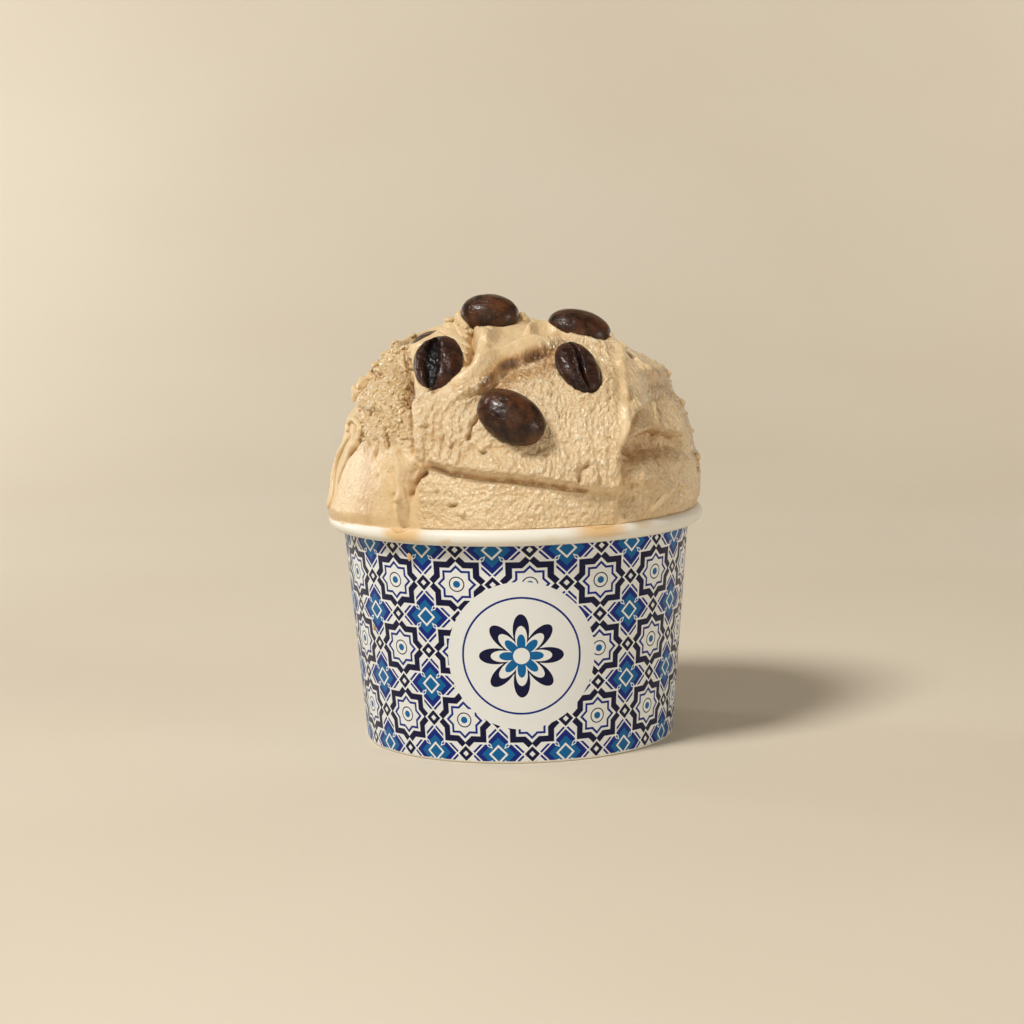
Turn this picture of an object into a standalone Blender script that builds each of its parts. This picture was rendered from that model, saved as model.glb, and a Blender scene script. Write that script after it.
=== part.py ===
"""A paper cup of coffee gelato with coffee beans pressed into the mound.

Sizes are in millimetres; MM turns them into metres.  The origin lies on the
floor under the middle of the cup, +Z is up and the wiped front faces -Y.
"""
import math

import bmesh
import bpy
import numpy as np
from mathutils import Matrix, Vector, noise

MM = 0.001
GAP = 0.30                  # clearance between pieces that touch

# ---- paper cup ----------------------------------------------------------
RIM_RADIUS = 37.5           # outermost radius of the rolled rim
RIM_TOP = 46.2              # height of the rolled rim
ROLL_RADIUS = 1.6           # radius of the roll's section
ROLL_TURN = 290.0           # degrees the paper is rolled through
PAPER = 0.45                # thickness of the board
FOOT_RADIUS = 30.95         # outer radius where the cup stands
FOOT_WIDTH = 2.2            # width of the folded foot
FOOT_CORNER = 0.35          # size of the foot's worn corners
SKIRT_HEIGHT = 4.6          # height of the board folded up inside the foot
BASE_UNDERSIDE = 4.9        # height of the recessed base above the floor
WALL_STEPS = 64
ROLL_STEPS = 7

# ---- gelato -------------------------------------------------------------
MOUND_CENTRE_Z = 46.0
MOUND_HEIGHT = 37.6
MOUND_POWER = 2.35          # roundness of the mound's section
MOUND_SIDE = 37.4           # radius to the right
MOUND_LEFT_EXTRA = 0.5      # how much wider the left side stands
MOUND_FRONT = 35.9
MOUND_BACK = 36.6
MOUND_FRONT_COLUMNS = 100
MOUND_BACK_COLUMNS = 52
MOUND_ROWS = 66
MOUND_FIRST_ANGLE = 2.6     # elevation of the first row above the lip
MOUND_LAST_ANGLE = 88.6     # elevation of the row round the very top
MOUND_STILL_TO = 47.0       # below this height the mound keeps its plain form
MOUND_FREE_FROM = 50.0      # above this height it is worked in full
FACING_DEPTH = 8.0          # distance over which marks fade round from front to back
GELATO_SHARE = 0.129        # share of the mound's triangles that are kept
SMOOTH_BELOW = 55.0         # degrees between two faces that are still shaded as one

# Gentle unevenness of the scooped surface: height, waves per mm, start.
LUMPS = ((0.9, 0.085, (0.0, 0.0, 0.0)), (0.45, 0.21, (7.0, 3.0, 1.0)))

# Gelato packed in the cup: shares of its depth that get a row of points, and
# places round the rolled rim, in degrees, where it comes over.
PACKED_SHARES = (0.02, 0.35, 0.7, 1.0)
PACKED_TURNS = (160, 140, 120, 104, 92)
PACKED_TOP_DROP = 0.4       # how far the last row in the cup lies under the roll's middle
PACKED_CORNER = 0.5         # how far the bottom's edge is rounded in

ROLL_CENTRE = (RIM_RADIUS - ROLL_RADIUS, RIM_TOP - ROLL_RADIUS)

FRONT = -1.0
BACK = 1.0
TOP = 0.0

# Ridges (height > 0) and grooves (height < 0) wiped into the mound:
# side, height, half width, lean, points on the mound as (x, z), on top as (x, y).
# Lean draws the crest downwards so that a fold overhangs.
STROKES = (
    # left of the wiped panel
    (FRONT, 1.4, 1.0, 0.0, ((-21.8, 47.5), (-21.8, 52.0), (-22.0, 57.0), (-22.8, 60.5))),
    (FRONT, -1.9, 1.2, 0.0, ((-20.0, 51.5), (-19.0, 55.0), (-17.5, 57.4))),
    (FRONT, -0.9, 0.9, 0.0, ((-19.2, 60.0), (-19.4, 66.0), (-19.5, 70.0))),
    (FRONT, -2.4, 1.1, 0.0, ((-19.2, 69.5), (-19.5, 73.0), (-20.3, 76.5))),
    (FRONT, 0.8, 1.2, 0.0, ((-17.6, 60.0), (-17.8, 65.0), (-16.4, 68.5), (-12.5, 71.5))),
    (FRONT, 0.5, 0.9, 0.0, ((-14.6, 60.0), (-14.6, 64.5), (-12.6, 68.5), (-9.0, 71.0))),
    # folds under the upper bean
    (FRONT, 2.6, 1.9, 1.4, ((-11.0, 73.0), (-7.0, 75.8), (-3.0, 78.3), (0.5, 80.0))),
    (TOP, 2.4, 1.8, 1.2, ((0.5, -17.4), (4.0, -15.4), (7.5, -13.4), (11.0, -12.4), (15.0, -11.6))),
    (FRONT, -1.7, 2.0, 0.0, ((-7.0, 72.8), (-3.0, 75.2), (1.0, 76.8), (5.0, 78.4))),
    (FRONT, -1.2, 0.9, 0.0, ((6.4, 80.2), (8.8, 80.3))),
    (TOP, 2.2, 2.2, 0.0, ((-2.6, -13.6), (-4.4, -17.0), (-5.6, -20.6))),
    (FRONT, 1.6, 2.2, 0.0, ((-5.6, 78.8), (-8.0, 76.0))),
    (FRONT, -1.9, 0.9, 0.0, ((-8.0, 82.4), (-8.6, 79.5), (-9.6, 77.4))),
    (TOP, 3.0, 2.3, 0.5, ((-11.4, -10.6), (-9.0, -11.6))),
    (TOP, 1.6, 3.4, 0.0, ((-6.0, -8.6), (-2.0, -9.4))),
    (TOP, 1.9, 1.2, 0.0, ((1.4, -10.6), (2.8, -9.6))),
    (FRONT, 1.0, 0.7, 0.4, ((-13.4, 80.0), (-10.8, 78.6), (-9.2, 77.0))),
    # right edge of the panel and the side behind it
    (TOP, 1.9, 1.8, 0.0, ((18.4, -8.4), (19.4, -12.8))),
    (FRONT, 1.2, 1.4, 0.0, ((19.4, 79.0), (19.8, 76.0))),
    (FRONT, 1.3, 1.3, 0.0, ((19.8, 76.0), (20.3, 71.0), (20.4, 67.0), (19.2, 62.8))),
    (FRONT, 0.9, 1.1, 0.0, ((19.2, 62.8), (18.5, 58.0), (18.8, 53.0), (18.4, 49.0))),
    (FRONT, 1.1, 0.9, 0.0, ((25.0, 69.6), (22.5, 66.5), (20.2, 63.0))),
    (FRONT, -1.6, 0.8, 0.0, ((22.4, 77.2), (23.6, 74.4))),
    (FRONT, -0.6, 0.8, 0.0, ((15.2, 56.5), (15.5, 60.5))),
    (FRONT, 1.5, 1.2, 0.8, ((21.6, 60.5), (24.5, 63.6), (29.0, 64.0), (33.4, 61.8))),
    (FRONT, -1.7, 2.4, 0.0, ((23.0, 60.0), (27.0, 60.2), (32.0, 59.2))),
    (FRONT, -1.0, 1.3, 0.0, ((21.6, 57.8), (26.0, 57.6), (29.6, 56.2))),
    (FRONT, 0.9, 0.9, 0.0, ((26.4, 48.4), (28.4, 49.8), (30.8, 51.4))),
    # left side: knob, curl and the long wiped lip below them
    (FRONT, 2.3, 2.0, 0.6, ((-31.0, 70.6), (-29.0, 72.0))),
    (FRONT, -2.1, 1.2, 0.0, ((-32.2, 66.6), (-30.0, 67.2))),
    (FRONT, 1.3, 1.1, 0.4, ((-33.2, 65.0), (-33.0, 62.8), (-31.0, 63.4))),
    (FRONT, -1.5, 1.4, 0.0, ((-31.6, 61.8), (-32.6, 58.5), (-34.2, 54.0))),
    (FRONT, 0.8, 1.2, 0.0, ((-34.8, 61.0), (-35.8, 56.0), (-36.6, 51.0))),
    (FRONT, -1.3, 0.8, 0.0, ((-24.9, 64.4), (-24.4, 61.6))),
    (FRONT, 0.8, 1.9, 0.0, ((-26.4, 75.6), (-23.6, 78.2))),
    # corners of the right outline
    (FRONT, 1.8, 2.0, 0.0, ((29.6, 73.4), (31.2, 72.4))),
    (FRONT, 1.4, 1.7, 0.0, ((34.0, 66.0), (35.2, 63.0))),
    (FRONT, 0.6, 1.6, 0.0, ((37.0, 56.8), (37.2, 53.5))),
    # back: one broad wiped shelf, folds over it and two upright ridges
    (BACK, 1.5, 1.5, 0.6, ((-24.0, 61.5), (-12.0, 60.4), (2.0, 61.2), (15.0, 63.6))),
    (BACK, -1.9, 2.0, 0.0, ((-23.0, 58.6), (-12.0, 57.4), (2.0, 58.2), (14.0, 60.4))),
    (BACK, 1.4, 1.3, 0.0, ((17.5, 49.0), (18.0, 57.0), (17.0, 66.0), (13.5, 74.0))),
    (BACK, -1.0, 1.0, 0.0, ((20.2, 50.0), (20.6, 58.0), (19.6, 66.0))),
    (BACK, 1.1, 1.2, 0.0, ((-26.0, 48.5), (-26.4, 55.0), (-27.6, 61.0))),
    (BACK, 2.0, 1.8, 1.1, ((-20.0, 72.5), (-12.0, 75.6), (-3.0, 76.6), (6.0, 79.6))),
    (BACK, -1.5, 1.7, 0.0, ((-18.0, 69.2), (-10.0, 72.2), (-2.0, 73.2), (5.0, 75.6))),
    (BACK, 1.5, 1.6, 0.7, ((-8.0, 81.2), (1.0, 82.6), (9.0, 80.8))),
    (BACK, 1.4, 1.4, 0.4, ((26.0, 70.6), (29.6, 65.0), (31.0, 58.6))),
    (BACK, -1.3, 1.6, 0.0, ((30.2, 54.0), (33.0, 60.0))),
    (BACK, -1.3, 1.4, 0.0, ((-31.4, 66.0), (-33.2, 60.0), (-34.6, 54.0))),
)

# Line of the step across the front, as (x, z), and its depth.
STEP_LINE = ((-17.5, 58.1), (-10.0, 57.3), (0.0, 56.3), (8.0, 55.2), (14.0, 53.8), (18.0, 52.4))
STEP_DEPTH = 2.2
STEP_UNDERSIDE = 2.3        # height over which the panel turns under
STEP_RUNOUT = 8.5           # height over which the lower band comes out again
STEP_SHELF = 0.6            # height of the step's inner corner
STEP_LEFT_START = -3.0      # where the step starts, from the line's left end, and how far it takes
STEP_LEFT_RUN = 2.4
STEP_RIGHT_END = 1.5
STEP_RIGHT_RUN = 4.0

# ---- coffee beans --------------------------------------------------------
BEAN_COLUMNS = 16
BEAN_ROWS = 10
BEAN_DOME = 0.62            # share of the thickness on the domed side
BEAN_FLAT = 0.38            # share of the thickness on the grooved side
BEAN_SWELL = 0.86           # below 1 makes the ends blunter than an ellipsoid's
BEAN_SQUARENESS = 3.2       # power of the grooved side's section, 2 for an ellipse
GROOVE_HALF_WIDTH = 0.55
GROOVE_DEPTH = 1.1
GROOVE_FROM = -0.5          # part of the section the groove is cut in
GROOVE_END_START = 0.19     # size of the section at which the groove begins, near a tip
GROOVE_END_RUN = 0.62
BEAN_SMOOTH_BELOW = 50.0
BASE_SMOOTH_BELOW = 30.0

# name, centre, long axis, outward side, length, width, thickness, groove outwards
BEANS = (
    ("bean_1", (-4.3, -9.0, 85.3), (1.0, -0.10, -0.10), (0.05, -0.72, 0.70), 11.4, 8.4, 5.8, False),
    ("bean_2", (13.2, -8.4, 81.9), (1.0, -0.05, -0.26), (0.22, -0.55, 0.80), 12.6, 8.6, 5.8, False),
    ("bean_3", (-14.3, -20.1, 76.8), (0.00, -0.67, -0.74), (-0.25, -0.72, 0.65), 12.3, 9.9, 5.8, True),
    ("bean_4", (12.5, -22.9, 75.5), (0.40, -0.50, -0.72), (0.25, -0.72, 0.65), 11.9, 8.0, 5.6, True),
    ("bean_5", (-0.5, -31.9, 67.1), (0.82, -0.26, -0.50), (0.02, -0.88, 0.48), 14.0, 9.7, 6.2, False),
    ("bean_6", (-5.4, 1.8, 84.6), (0.64, 0.77, -0.05), (-0.1, 0.25, 0.96), 11.4, 8.2, 5.4, False),
    ("bean_7", (-16.2, -3.4, 78.4), (0.35, 0.93, 0.10), (-0.45, 0.10, 0.89), 11.2, 8.0, 5.4, False),
)

# ---- materials: colour, roughness ---------------------------------------
LOOKS = {
    "printed_board": ((0.62, 0.64, 0.68), 0.45),
    "white_board": ((0.80, 0.77, 0.70), 0.55),
    "coffee_gelato": ((0.68, 0.47, 0.27), 0.42),
    "roasted_bean": ((0.045, 0.022, 0.014), 0.35),
}


def ease(values):
    """Smooth step from 0 to 1."""
    t = np.clip(values, 0.0, 1.0)
    return t * t * (3.0 - 2.0 * t)


# ---- cup -----------------------------------------------------------------
def tangent_point(foot):
    """Where the board's middle line from the foot meets the roll."""
    radius = ROLL_RADIUS - PAPER / 2
    across = ROLL_CENTRE[0] - foot[0]
    rise = ROLL_CENTRE[1] - foot[1]
    reach = math.hypot(across, rise)
    line = math.atan2(rise, across) + math.asin(radius / reach)
    turn = line + math.pi / 2
    return ROLL_CENTRE[0] + radius * math.cos(turn), ROLL_CENTRE[1] + radius * math.sin(turn), turn


def foot_point():
    """Where the board's middle line turns under at the foot."""
    return FOOT_RADIUS - PAPER / 2, PAPER / 2 + FOOT_CORNER


def board_line():
    """Middle line of the board: round the roll, down the wall, under and up the skirt."""
    outer, corner = foot_point()
    inner = outer - (FOOT_WIDTH - PAPER)
    touch_x, touch_z, turn = tangent_point((outer, corner))
    radius = ROLL_RADIUS - PAPER / 2
    points = []
    for step in range(ROLL_STEPS):
        angle = turn - math.radians(ROLL_TURN) * (1.0 - step / ROLL_STEPS)
        points.append((ROLL_CENTRE[0] + radius * math.cos(angle),
                       ROLL_CENTRE[1] + radius * math.sin(angle)))
    points.append((touch_x, touch_z))
    points.append((outer, corner))
    points.append((outer - FOOT_CORNER, PAPER / 2))
    points.append((inner + FOOT_CORNER, PAPER / 2))
    points.append((inner, corner))
    points.append((inner, SKIRT_HEIGHT))
    return points


def mitre(before, here, after):
    """Vector that keeps an offset line parallel at a corner."""
    first = (here - before).normalized() if here != before else (after - here).normalized()
    second = (after - here).normalized() if after != here else first
    middle = (first + second).normalized()
    across = Vector((-middle.y, middle.x))
    return across / max(middle.dot(first), 0.5)


def thicken(line, thickness):
    """Closed outline at half the thickness either side of a line."""
    line = [Vector(point) for point in line]
    left = []
    right = []
    for index, point in enumerate(line):
        before = line[max(index - 1, 0)]
        after = line[min(index + 1, len(line) - 1)]
        across = mitre(before, point, after) * (thickness / 2)
        left.append(point + across)
        right.append(point - across)
    return left + right[::-1]


def inner_wall_radius(height):
    """Radius of the wall's inner face at a height."""
    foot = foot_point()
    touch_x, touch_z, _ = tangent_point(foot)
    slope = (touch_x - foot[0]) / (touch_z - foot[1])
    return foot[0] + slope * (height - foot[1]) - PAPER / 2 * math.hypot(1.0, slope)


# ---- mound ---------------------------------------------------------------
def mound_depth(x, z):
    """Distance of the plain mound from the middle plane, at x and z."""
    across = MOUND_SIDE + (MOUND_LEFT_EXTRA if x < 0 else 0.0)
    level = 1.0 - (max(z - MOUND_CENTRE_Z, 0.0) / MOUND_HEIGHT) ** MOUND_POWER
    ring = max(level, 0.0) ** (1.0 / MOUND_POWER)
    return math.sqrt(max(ring ** 2 - (x / across) ** 2, 0.0))


def mound_level(x, y):
    """Height of the plain mound at x and y."""
    ring = math.hypot(x / MOUND_SIDE, y / MOUND_FRONT) ** MOUND_POWER
    return MOUND_CENTRE_Z + MOUND_HEIGHT * max(1.0 - ring, 0.0) ** (1.0 / MOUND_POWER)


def stroke_line(side, points):
    """Stroke's points laid on the plain mound."""
    if side == TOP:
        return [np.array((x, y, mound_level(x, y))) for x, y in points]
    depth = MOUND_FRONT if side == FRONT else MOUND_BACK
    return [np.array((x, side * depth * mound_depth(x, z), z)) for x, z in points]


def line_distance(points, line):
    """Distance of each point from a polyline."""
    nearest = np.full(len(points), 1e9)
    for start, end in zip(line[:-1], line[1:]):
        along = end - start
        share = np.clip((points - start) @ along / (along @ along), 0.0, 1.0)
        gap = np.linalg.norm(points - start - share[:, None] * along, axis=1)
        nearest = np.minimum(nearest, gap)
    return nearest


def step_depth(points):
    """How far the step draws the front inwards at each point."""
    line_x = [x for x, _ in STEP_LINE]
    line_z = [z for _, z in STEP_LINE]
    below = np.interp(points[:, 0], line_x, line_z) - points[:, 2]
    under = ease((below + STEP_UNDERSIDE) / STEP_UNDERSIDE)
    runout = ease(1.0 - (below - STEP_SHELF) / STEP_RUNOUT)
    left = ease((points[:, 0] - line_x[0] - STEP_LEFT_START) / STEP_LEFT_RUN)
    right = ease((line_x[-1] + STEP_RIGHT_END - points[:, 0]) / STEP_RIGHT_RUN)
    front = ease(-points[:, 1] / FACING_DEPTH)
    return STEP_DEPTH * under * runout * left * right * front


def lumpiness(point):
    """Gentle unevenness of the scooped surface."""
    return sum(height * noise.noise(Vector(point) * waves + Vector(start)) for height, waves, start in LUMPS)


def shape_mound(points, normals):
    """Move the plain mound's points to the folded and wiped surface."""
    lift = np.array([lumpiness(point) for point in points])
    lean = np.zeros(len(points))
    for side, height, width, drop, line in STROKES:
        bump = np.exp(-(line_distance(points, stroke_line(side, line)) / width) ** 2)
        lift += height * bump
        lean += drop * bump
    lift -= step_depth(points)
    hold = ease((points[:, 2] - MOUND_STILL_TO) / (MOUND_FREE_FROM - MOUND_STILL_TO))
    moved = points + normals * (lift * hold)[:, None]
    moved[:, 2] -= lean * hold
    return moved


def column_angles():
    """Angles of the columns from +X round, closer together across the front."""
    back = [math.pi * k / MOUND_BACK_COLUMNS for k in range(MOUND_BACK_COLUMNS)]
    front = [math.pi + math.pi * k / MOUND_FRONT_COLUMNS for k in range(MOUND_FRONT_COLUMNS)]
    return back + front


def mound_reach(angle):
    """Radii of the plain mound at an angle round the cup, as a pair."""
    side = MOUND_SIDE + (MOUND_LEFT_EXTRA if math.cos(angle) < 0 else 0.0)
    depth = MOUND_FRONT if math.sin(angle) < 0 else MOUND_BACK
    return side * math.cos(angle), depth * math.sin(angle)


def packed_profile():
    """Gelato inside the cup and over the rim, as (radius, height) rows."""
    bottom = BASE_UNDERSIDE + PAPER + GAP
    rows = [(inner_wall_radius(bottom) - GAP - PACKED_CORNER, bottom)]
    top = ROLL_CENTRE[1] - PACKED_TOP_DROP
    for share in PACKED_SHARES:
        height = bottom + share * (top - bottom)
        rows.append((inner_wall_radius(height) - GAP, height))
    for degrees in PACKED_TURNS:
        turn = math.radians(degrees)
        clear = ROLL_RADIUS + GAP
        rows.append((ROLL_CENTRE[0] + clear * math.cos(turn), ROLL_CENTRE[1] + clear * math.sin(turn)))
    return rows


def mound_grid():
    """Rows of points for the gelato from its flat bottom to its top row."""
    angles = column_angles()
    rows = [[(r * math.cos(a), r * math.sin(a), z) for a in angles] for r, z in packed_profile()]
    elevations = np.linspace(math.radians(MOUND_FIRST_ANGLE), math.radians(MOUND_LAST_ANGLE), MOUND_ROWS)
    shell = []
    for elevation in elevations:
        ring = math.cos(elevation)
        rise = math.sin(elevation)
        scale = (ring ** MOUND_POWER + rise ** MOUND_POWER) ** (-1.0 / MOUND_POWER)
        height = MOUND_CENTRE_Z + MOUND_HEIGHT * rise * scale
        for angle in angles:
            across, depth = mound_reach(angle)
            shell.append((across * ring * scale, depth * ring * scale, height))
    shell.append((0.0, 0.0, MOUND_CENTRE_Z + MOUND_HEIGHT))
    shell = np.array(shell)
    outward = shell - np.array((0.0, 0.0, MOUND_CENTRE_Z))
    reach = np.array((MOUND_SIDE, MOUND_FRONT, MOUND_HEIGHT))
    slope = np.sign(outward) * (np.abs(outward) / reach) ** (MOUND_POWER - 1.0) / reach
    normals = slope / np.linalg.norm(slope, axis=1)[:, None]
    shell = shape_mound(shell, normals)
    count = len(angles)
    for index in range(MOUND_ROWS):
        rows.append([tuple(point) for point in shell[index * count:(index + 1) * count]])
    return rows, tuple(shell[-1])


# ---- building ------------------------------------------------------------
def clear_scene():
    for item in list(bpy.data.objects):
        bpy.data.objects.remove(item, do_unlink=True)


def new_collection(name):
    group = bpy.data.collections.new(name)
    bpy.context.scene.collection.children.link(group)
    return group


def make_look(name):
    colour, roughness = LOOKS[name]
    look = bpy.data.materials.new(name)
    look.use_nodes = True
    shader = look.node_tree.nodes["Principled BSDF"]
    shader.inputs["Base Color"].default_value = (*colour, 1.0)
    shader.inputs["Roughness"].default_value = roughness
    shader.inputs["Metallic"].default_value = 0.0
    look.diffuse_color = (*colour, 1.0)
    return look


def add_object(name, bm, group, look=None):
    mesh = bpy.data.meshes.new(name)
    if bm.calc_volume(signed=True) < 0.0:
        bmesh.ops.reverse_faces(bm, faces=bm.faces)
    bm.to_mesh(mesh)
    bm.free()
    item = bpy.data.objects.new(name, mesh)
    group.objects.link(item)
    if look:
        mesh.materials.append(look)
    return item


def shade_round(item, degrees):
    item.data.shade_smooth()
    item.data.set_sharp_from_angle(angle=math.radians(degrees))


def add_turned(name, outline, group, look):
    """Solid of revolution from a closed outline of (radius, height)."""
    bm = bmesh.new()
    corners = [bm.verts.new((x * MM, 0.0, z * MM)) for x, z in outline]
    for start, end in zip(corners, corners[1:] + corners[:1]):
        bm.edges.new((start, end))
    mesh = bpy.data.meshes.new(name)
    bm.to_mesh(mesh)
    bm.free()
    item = bpy.data.objects.new(name, mesh)
    group.objects.link(item)
    mesh.materials.append(look)
    screw = item.modifiers.new("turn", "SCREW")
    screw.axis = "Z"
    screw.angle = math.tau
    screw.steps = WALL_STEPS
    screw.render_steps = WALL_STEPS
    screw.use_merge_vertices = True
    screw.merge_threshold = 0.00001
    screw.use_smooth_shade = True
    screw.use_normal_calculate = True
    return item


def add_cup(group, looks):
    add_turned("cup_wall", [tuple(p) for p in thicken(board_line(), PAPER)], group, looks["printed_board"])
    radius = inner_wall_radius(BASE_UNDERSIDE) - GAP
    bm = bmesh.new()
    bmesh.ops.create_cone(bm, cap_ends=True, segments=WALL_STEPS, radius1=radius * MM,
                          radius2=radius * MM, depth=PAPER * MM,
                          matrix=Matrix.Translation((0.0, 0.0, (BASE_UNDERSIDE + PAPER / 2) * MM)))
    disc = add_object("cup_base", bm, group, looks["white_board"])
    shade_round(disc, BASE_SMOOTH_BELOW)


def add_gelato(group, look):
    """The mound: a sphere's grid of faces laid over the worked-out rows."""
    rows, top = mound_grid()
    count = len(rows[0])
    bm = bmesh.new()
    bmesh.ops.create_uvsphere(bm, u_segments=count, v_segments=len(rows) + 1, radius=1.0)
    bm.verts.ensure_lookup_table()
    ordered = sorted(bm.verts, key=lambda v: round(v.co.z, 6))
    ordered[0].co = Vector((0.0, 0.0, rows[0][0][2])) * MM
    for index, row in enumerate(rows):
        ring = ordered[1 + index * count:1 + (index + 1) * count]
        ring.sort(key=lambda vertex: round(math.atan2(vertex.co.y, vertex.co.x), 6) % math.tau)
        for vertex, point in zip(ring, row):
            vertex.co = Vector(point) * MM
    ordered[-1].co = Vector(top) * MM
    gelato = add_object("gelato", bm, group, look)
    shade_round(gelato, SMOOTH_BELOW)
    thin = gelato.modifiers.new("thin", "DECIMATE")
    thin.ratio = GELATO_SHARE
    return gelato


def bean_frame(centre, long_axis, outward):
    """Local frame of a bean: X along it, Z out of its visible side."""
    along = Vector(long_axis).normalized()
    out = Vector(outward)
    out = (out - along * out.dot(along)).normalized()
    across = out.cross(along)
    turn = Matrix((along, across, out)).transposed().to_4x4()
    return Matrix.Translation(Vector(centre) * MM) @ turn


def bean_section(angle):
    """Outline of a bean across its length, as fractions of width and thickness."""
    side = math.cos(angle)
    rise = math.sin(angle)
    if rise >= 0.0:
        return side, rise
    scale = (abs(side) ** BEAN_SQUARENESS + abs(rise) ** BEAN_SQUARENESS) ** (-1.0 / BEAN_SQUARENESS)
    return side * scale, rise * scale


def add_bean_body(bm, length, width, thickness, grow, groove_side, grooved):
    """Domed bean with a flatter grooved side, its axis along X."""
    bmesh.ops.create_uvsphere(bm, u_segments=BEAN_COLUMNS, v_segments=BEAN_ROWS, radius=1.0)
    dome = BEAN_DOME * thickness + grow
    flat = BEAN_FLAT * thickness + grow
    for vertex in bm.verts:
        along = vertex.co.z
        ring = math.sqrt(max(1.0 - along * along, 0.0))
        angle = math.atan2(vertex.co.y, vertex.co.x)
        side, rise = bean_section(angle)
        swell = ring ** BEAN_SWELL
        y = side * (width / 2 + grow) * swell
        z = rise * (dome if rise >= 0.0 else flat) * swell
        x = along * (length / 2 + grow)
        if grooved and rise < GROOVE_FROM:
            ends = float(ease((ring - GROOVE_END_START) / GROOVE_END_RUN))
            z += GROOVE_DEPTH * math.exp(-(y / GROOVE_HALF_WIDTH) ** 2) * ends
        vertex.co = Vector((x, y, z * groove_side)) * MM


def add_beans(group, cutters, look, gelato):
    for name, centre, along, out, length, width, thickness, groove_out in BEANS:
        flip = -1.0 if groove_out else 1.0
        place = bean_frame(centre, along, out)
        bm = bmesh.new()
        add_bean_body(bm, length, width, thickness, 0.0, flip, True)
        bean = add_object(name, bm, group, look)
        bean.data.transform(place)
        shade_round(bean, BEAN_SMOOTH_BELOW)
        bm = bmesh.new()
        add_bean_body(bm, length, width, thickness, GAP, flip, False)
        hollow = add_object(name + "_hollow", bm, cutters)
        hollow.data.transform(place)
        hollow.hide_render = True
        hollow.display_type = "WIRE"
        cut = gelato.modifiers.new(name, "BOOLEAN")
        cut.operation = "DIFFERENCE"
        cut.solver = "EXACT"
        cut.object = hollow


def build():
    clear_scene()
    group = new_collection("gelato_cup")
    cutters = new_collection("cutters")
    looks = {name: make_look(name) for name in LOOKS}
    add_cup(group, looks)
    gelato = add_gelato(group, looks["coffee_gelato"])
    add_beans(group, cutters, looks["roasted_bean"], gelato)


build()
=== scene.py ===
"""Looks of the gelato cup: fine gelato, roasted beans, printed paper cup, light and camera.

Helpers work in millimetres in the row frame and turn into metres when a mesh is written.
"""

import math

import bmesh
import bpy
import numpy as np
from mathutils import Matrix, Vector


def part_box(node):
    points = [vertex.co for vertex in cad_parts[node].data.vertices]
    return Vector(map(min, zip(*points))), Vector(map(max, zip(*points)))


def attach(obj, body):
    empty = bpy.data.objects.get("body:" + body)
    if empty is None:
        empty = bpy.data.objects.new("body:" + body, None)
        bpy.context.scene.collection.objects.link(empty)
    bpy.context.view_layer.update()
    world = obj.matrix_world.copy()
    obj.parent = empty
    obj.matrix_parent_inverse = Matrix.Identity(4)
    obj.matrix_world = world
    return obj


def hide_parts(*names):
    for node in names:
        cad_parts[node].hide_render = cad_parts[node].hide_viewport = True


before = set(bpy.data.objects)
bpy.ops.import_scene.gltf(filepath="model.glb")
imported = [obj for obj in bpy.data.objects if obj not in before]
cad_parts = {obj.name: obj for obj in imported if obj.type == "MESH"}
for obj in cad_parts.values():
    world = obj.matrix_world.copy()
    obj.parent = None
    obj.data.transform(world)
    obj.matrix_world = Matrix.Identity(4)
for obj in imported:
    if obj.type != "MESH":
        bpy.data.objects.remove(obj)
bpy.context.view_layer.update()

MM = 0.001
MIDDLE = -math.pi / 2       # angle round the cup that faces the front

# ---- sizes read from the frame -------------------------------------------
WALL_LOW, WALL_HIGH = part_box("cup_wall")
BASE_LOW, BASE_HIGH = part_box("cup_base")
RIM_RADIUS = WALL_HIGH.x / MM
RIM_TOP = WALL_HIGH.z / MM
BASE_UNDERSIDE = BASE_LOW.z / MM

# ---- paper cup -------------------------------------------------------------
ROLL_RADIUS = 1.6
ROLL_TURN = 290.0
PAPER = 0.45
FOOT_RADIUS = 30.95
FOOT_WIDTH = 2.2
FOOT_CORNER = 0.35
SKIRT_HEIGHT = 4.6
ROLL_CENTRE = (RIM_RADIUS - ROLL_RADIUS, RIM_TOP - ROLL_RADIUS)
WALL_COLUMNS = 288
WALL_ROWS = 34
ROLL_ROWS = 34
SEAM_ANGLE = math.radians(70.0)
SEAM_LAP = 5.0              # how far the board laps over itself
SEAM_STEP = 0.22

# ---- printed pattern ---------------------------------------------------------
TILES_ROUND = 15
TILE_HEIGHT = 13.4
TILE_START = 1.9            # height at which a row of tiles starts
DISC_HEIGHT = 21.4
DISC_ANGLE = MIDDLE + math.radians(0.8)
DISC_RADIUS = 14.5

# ---- gelato ----------------------------------------------------------------
MOUND_CENTRE_Z = 46.0
MOUND_HEIGHT = 37.6
MOUND_POWER = 2.35
MOUND_SIDE = 37.2
MOUND_LEFT_EXTRA = 0.6
MOUND_FRONT = 35.9
MOUND_BACK = 36.4
FRONT_COLUMNS = 412
BACK_COLUMNS = 132
MOUND_ROWS = 164
FIRST_ANGLE = 1.2
NARROW = 0.7                # grooves narrower than this get painted shade (mm)
FILM_ROWS = 8
JOIN_ROWS = 6

FRONT = -1.0
BACK = 1.0
TOP = 0.0

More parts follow.
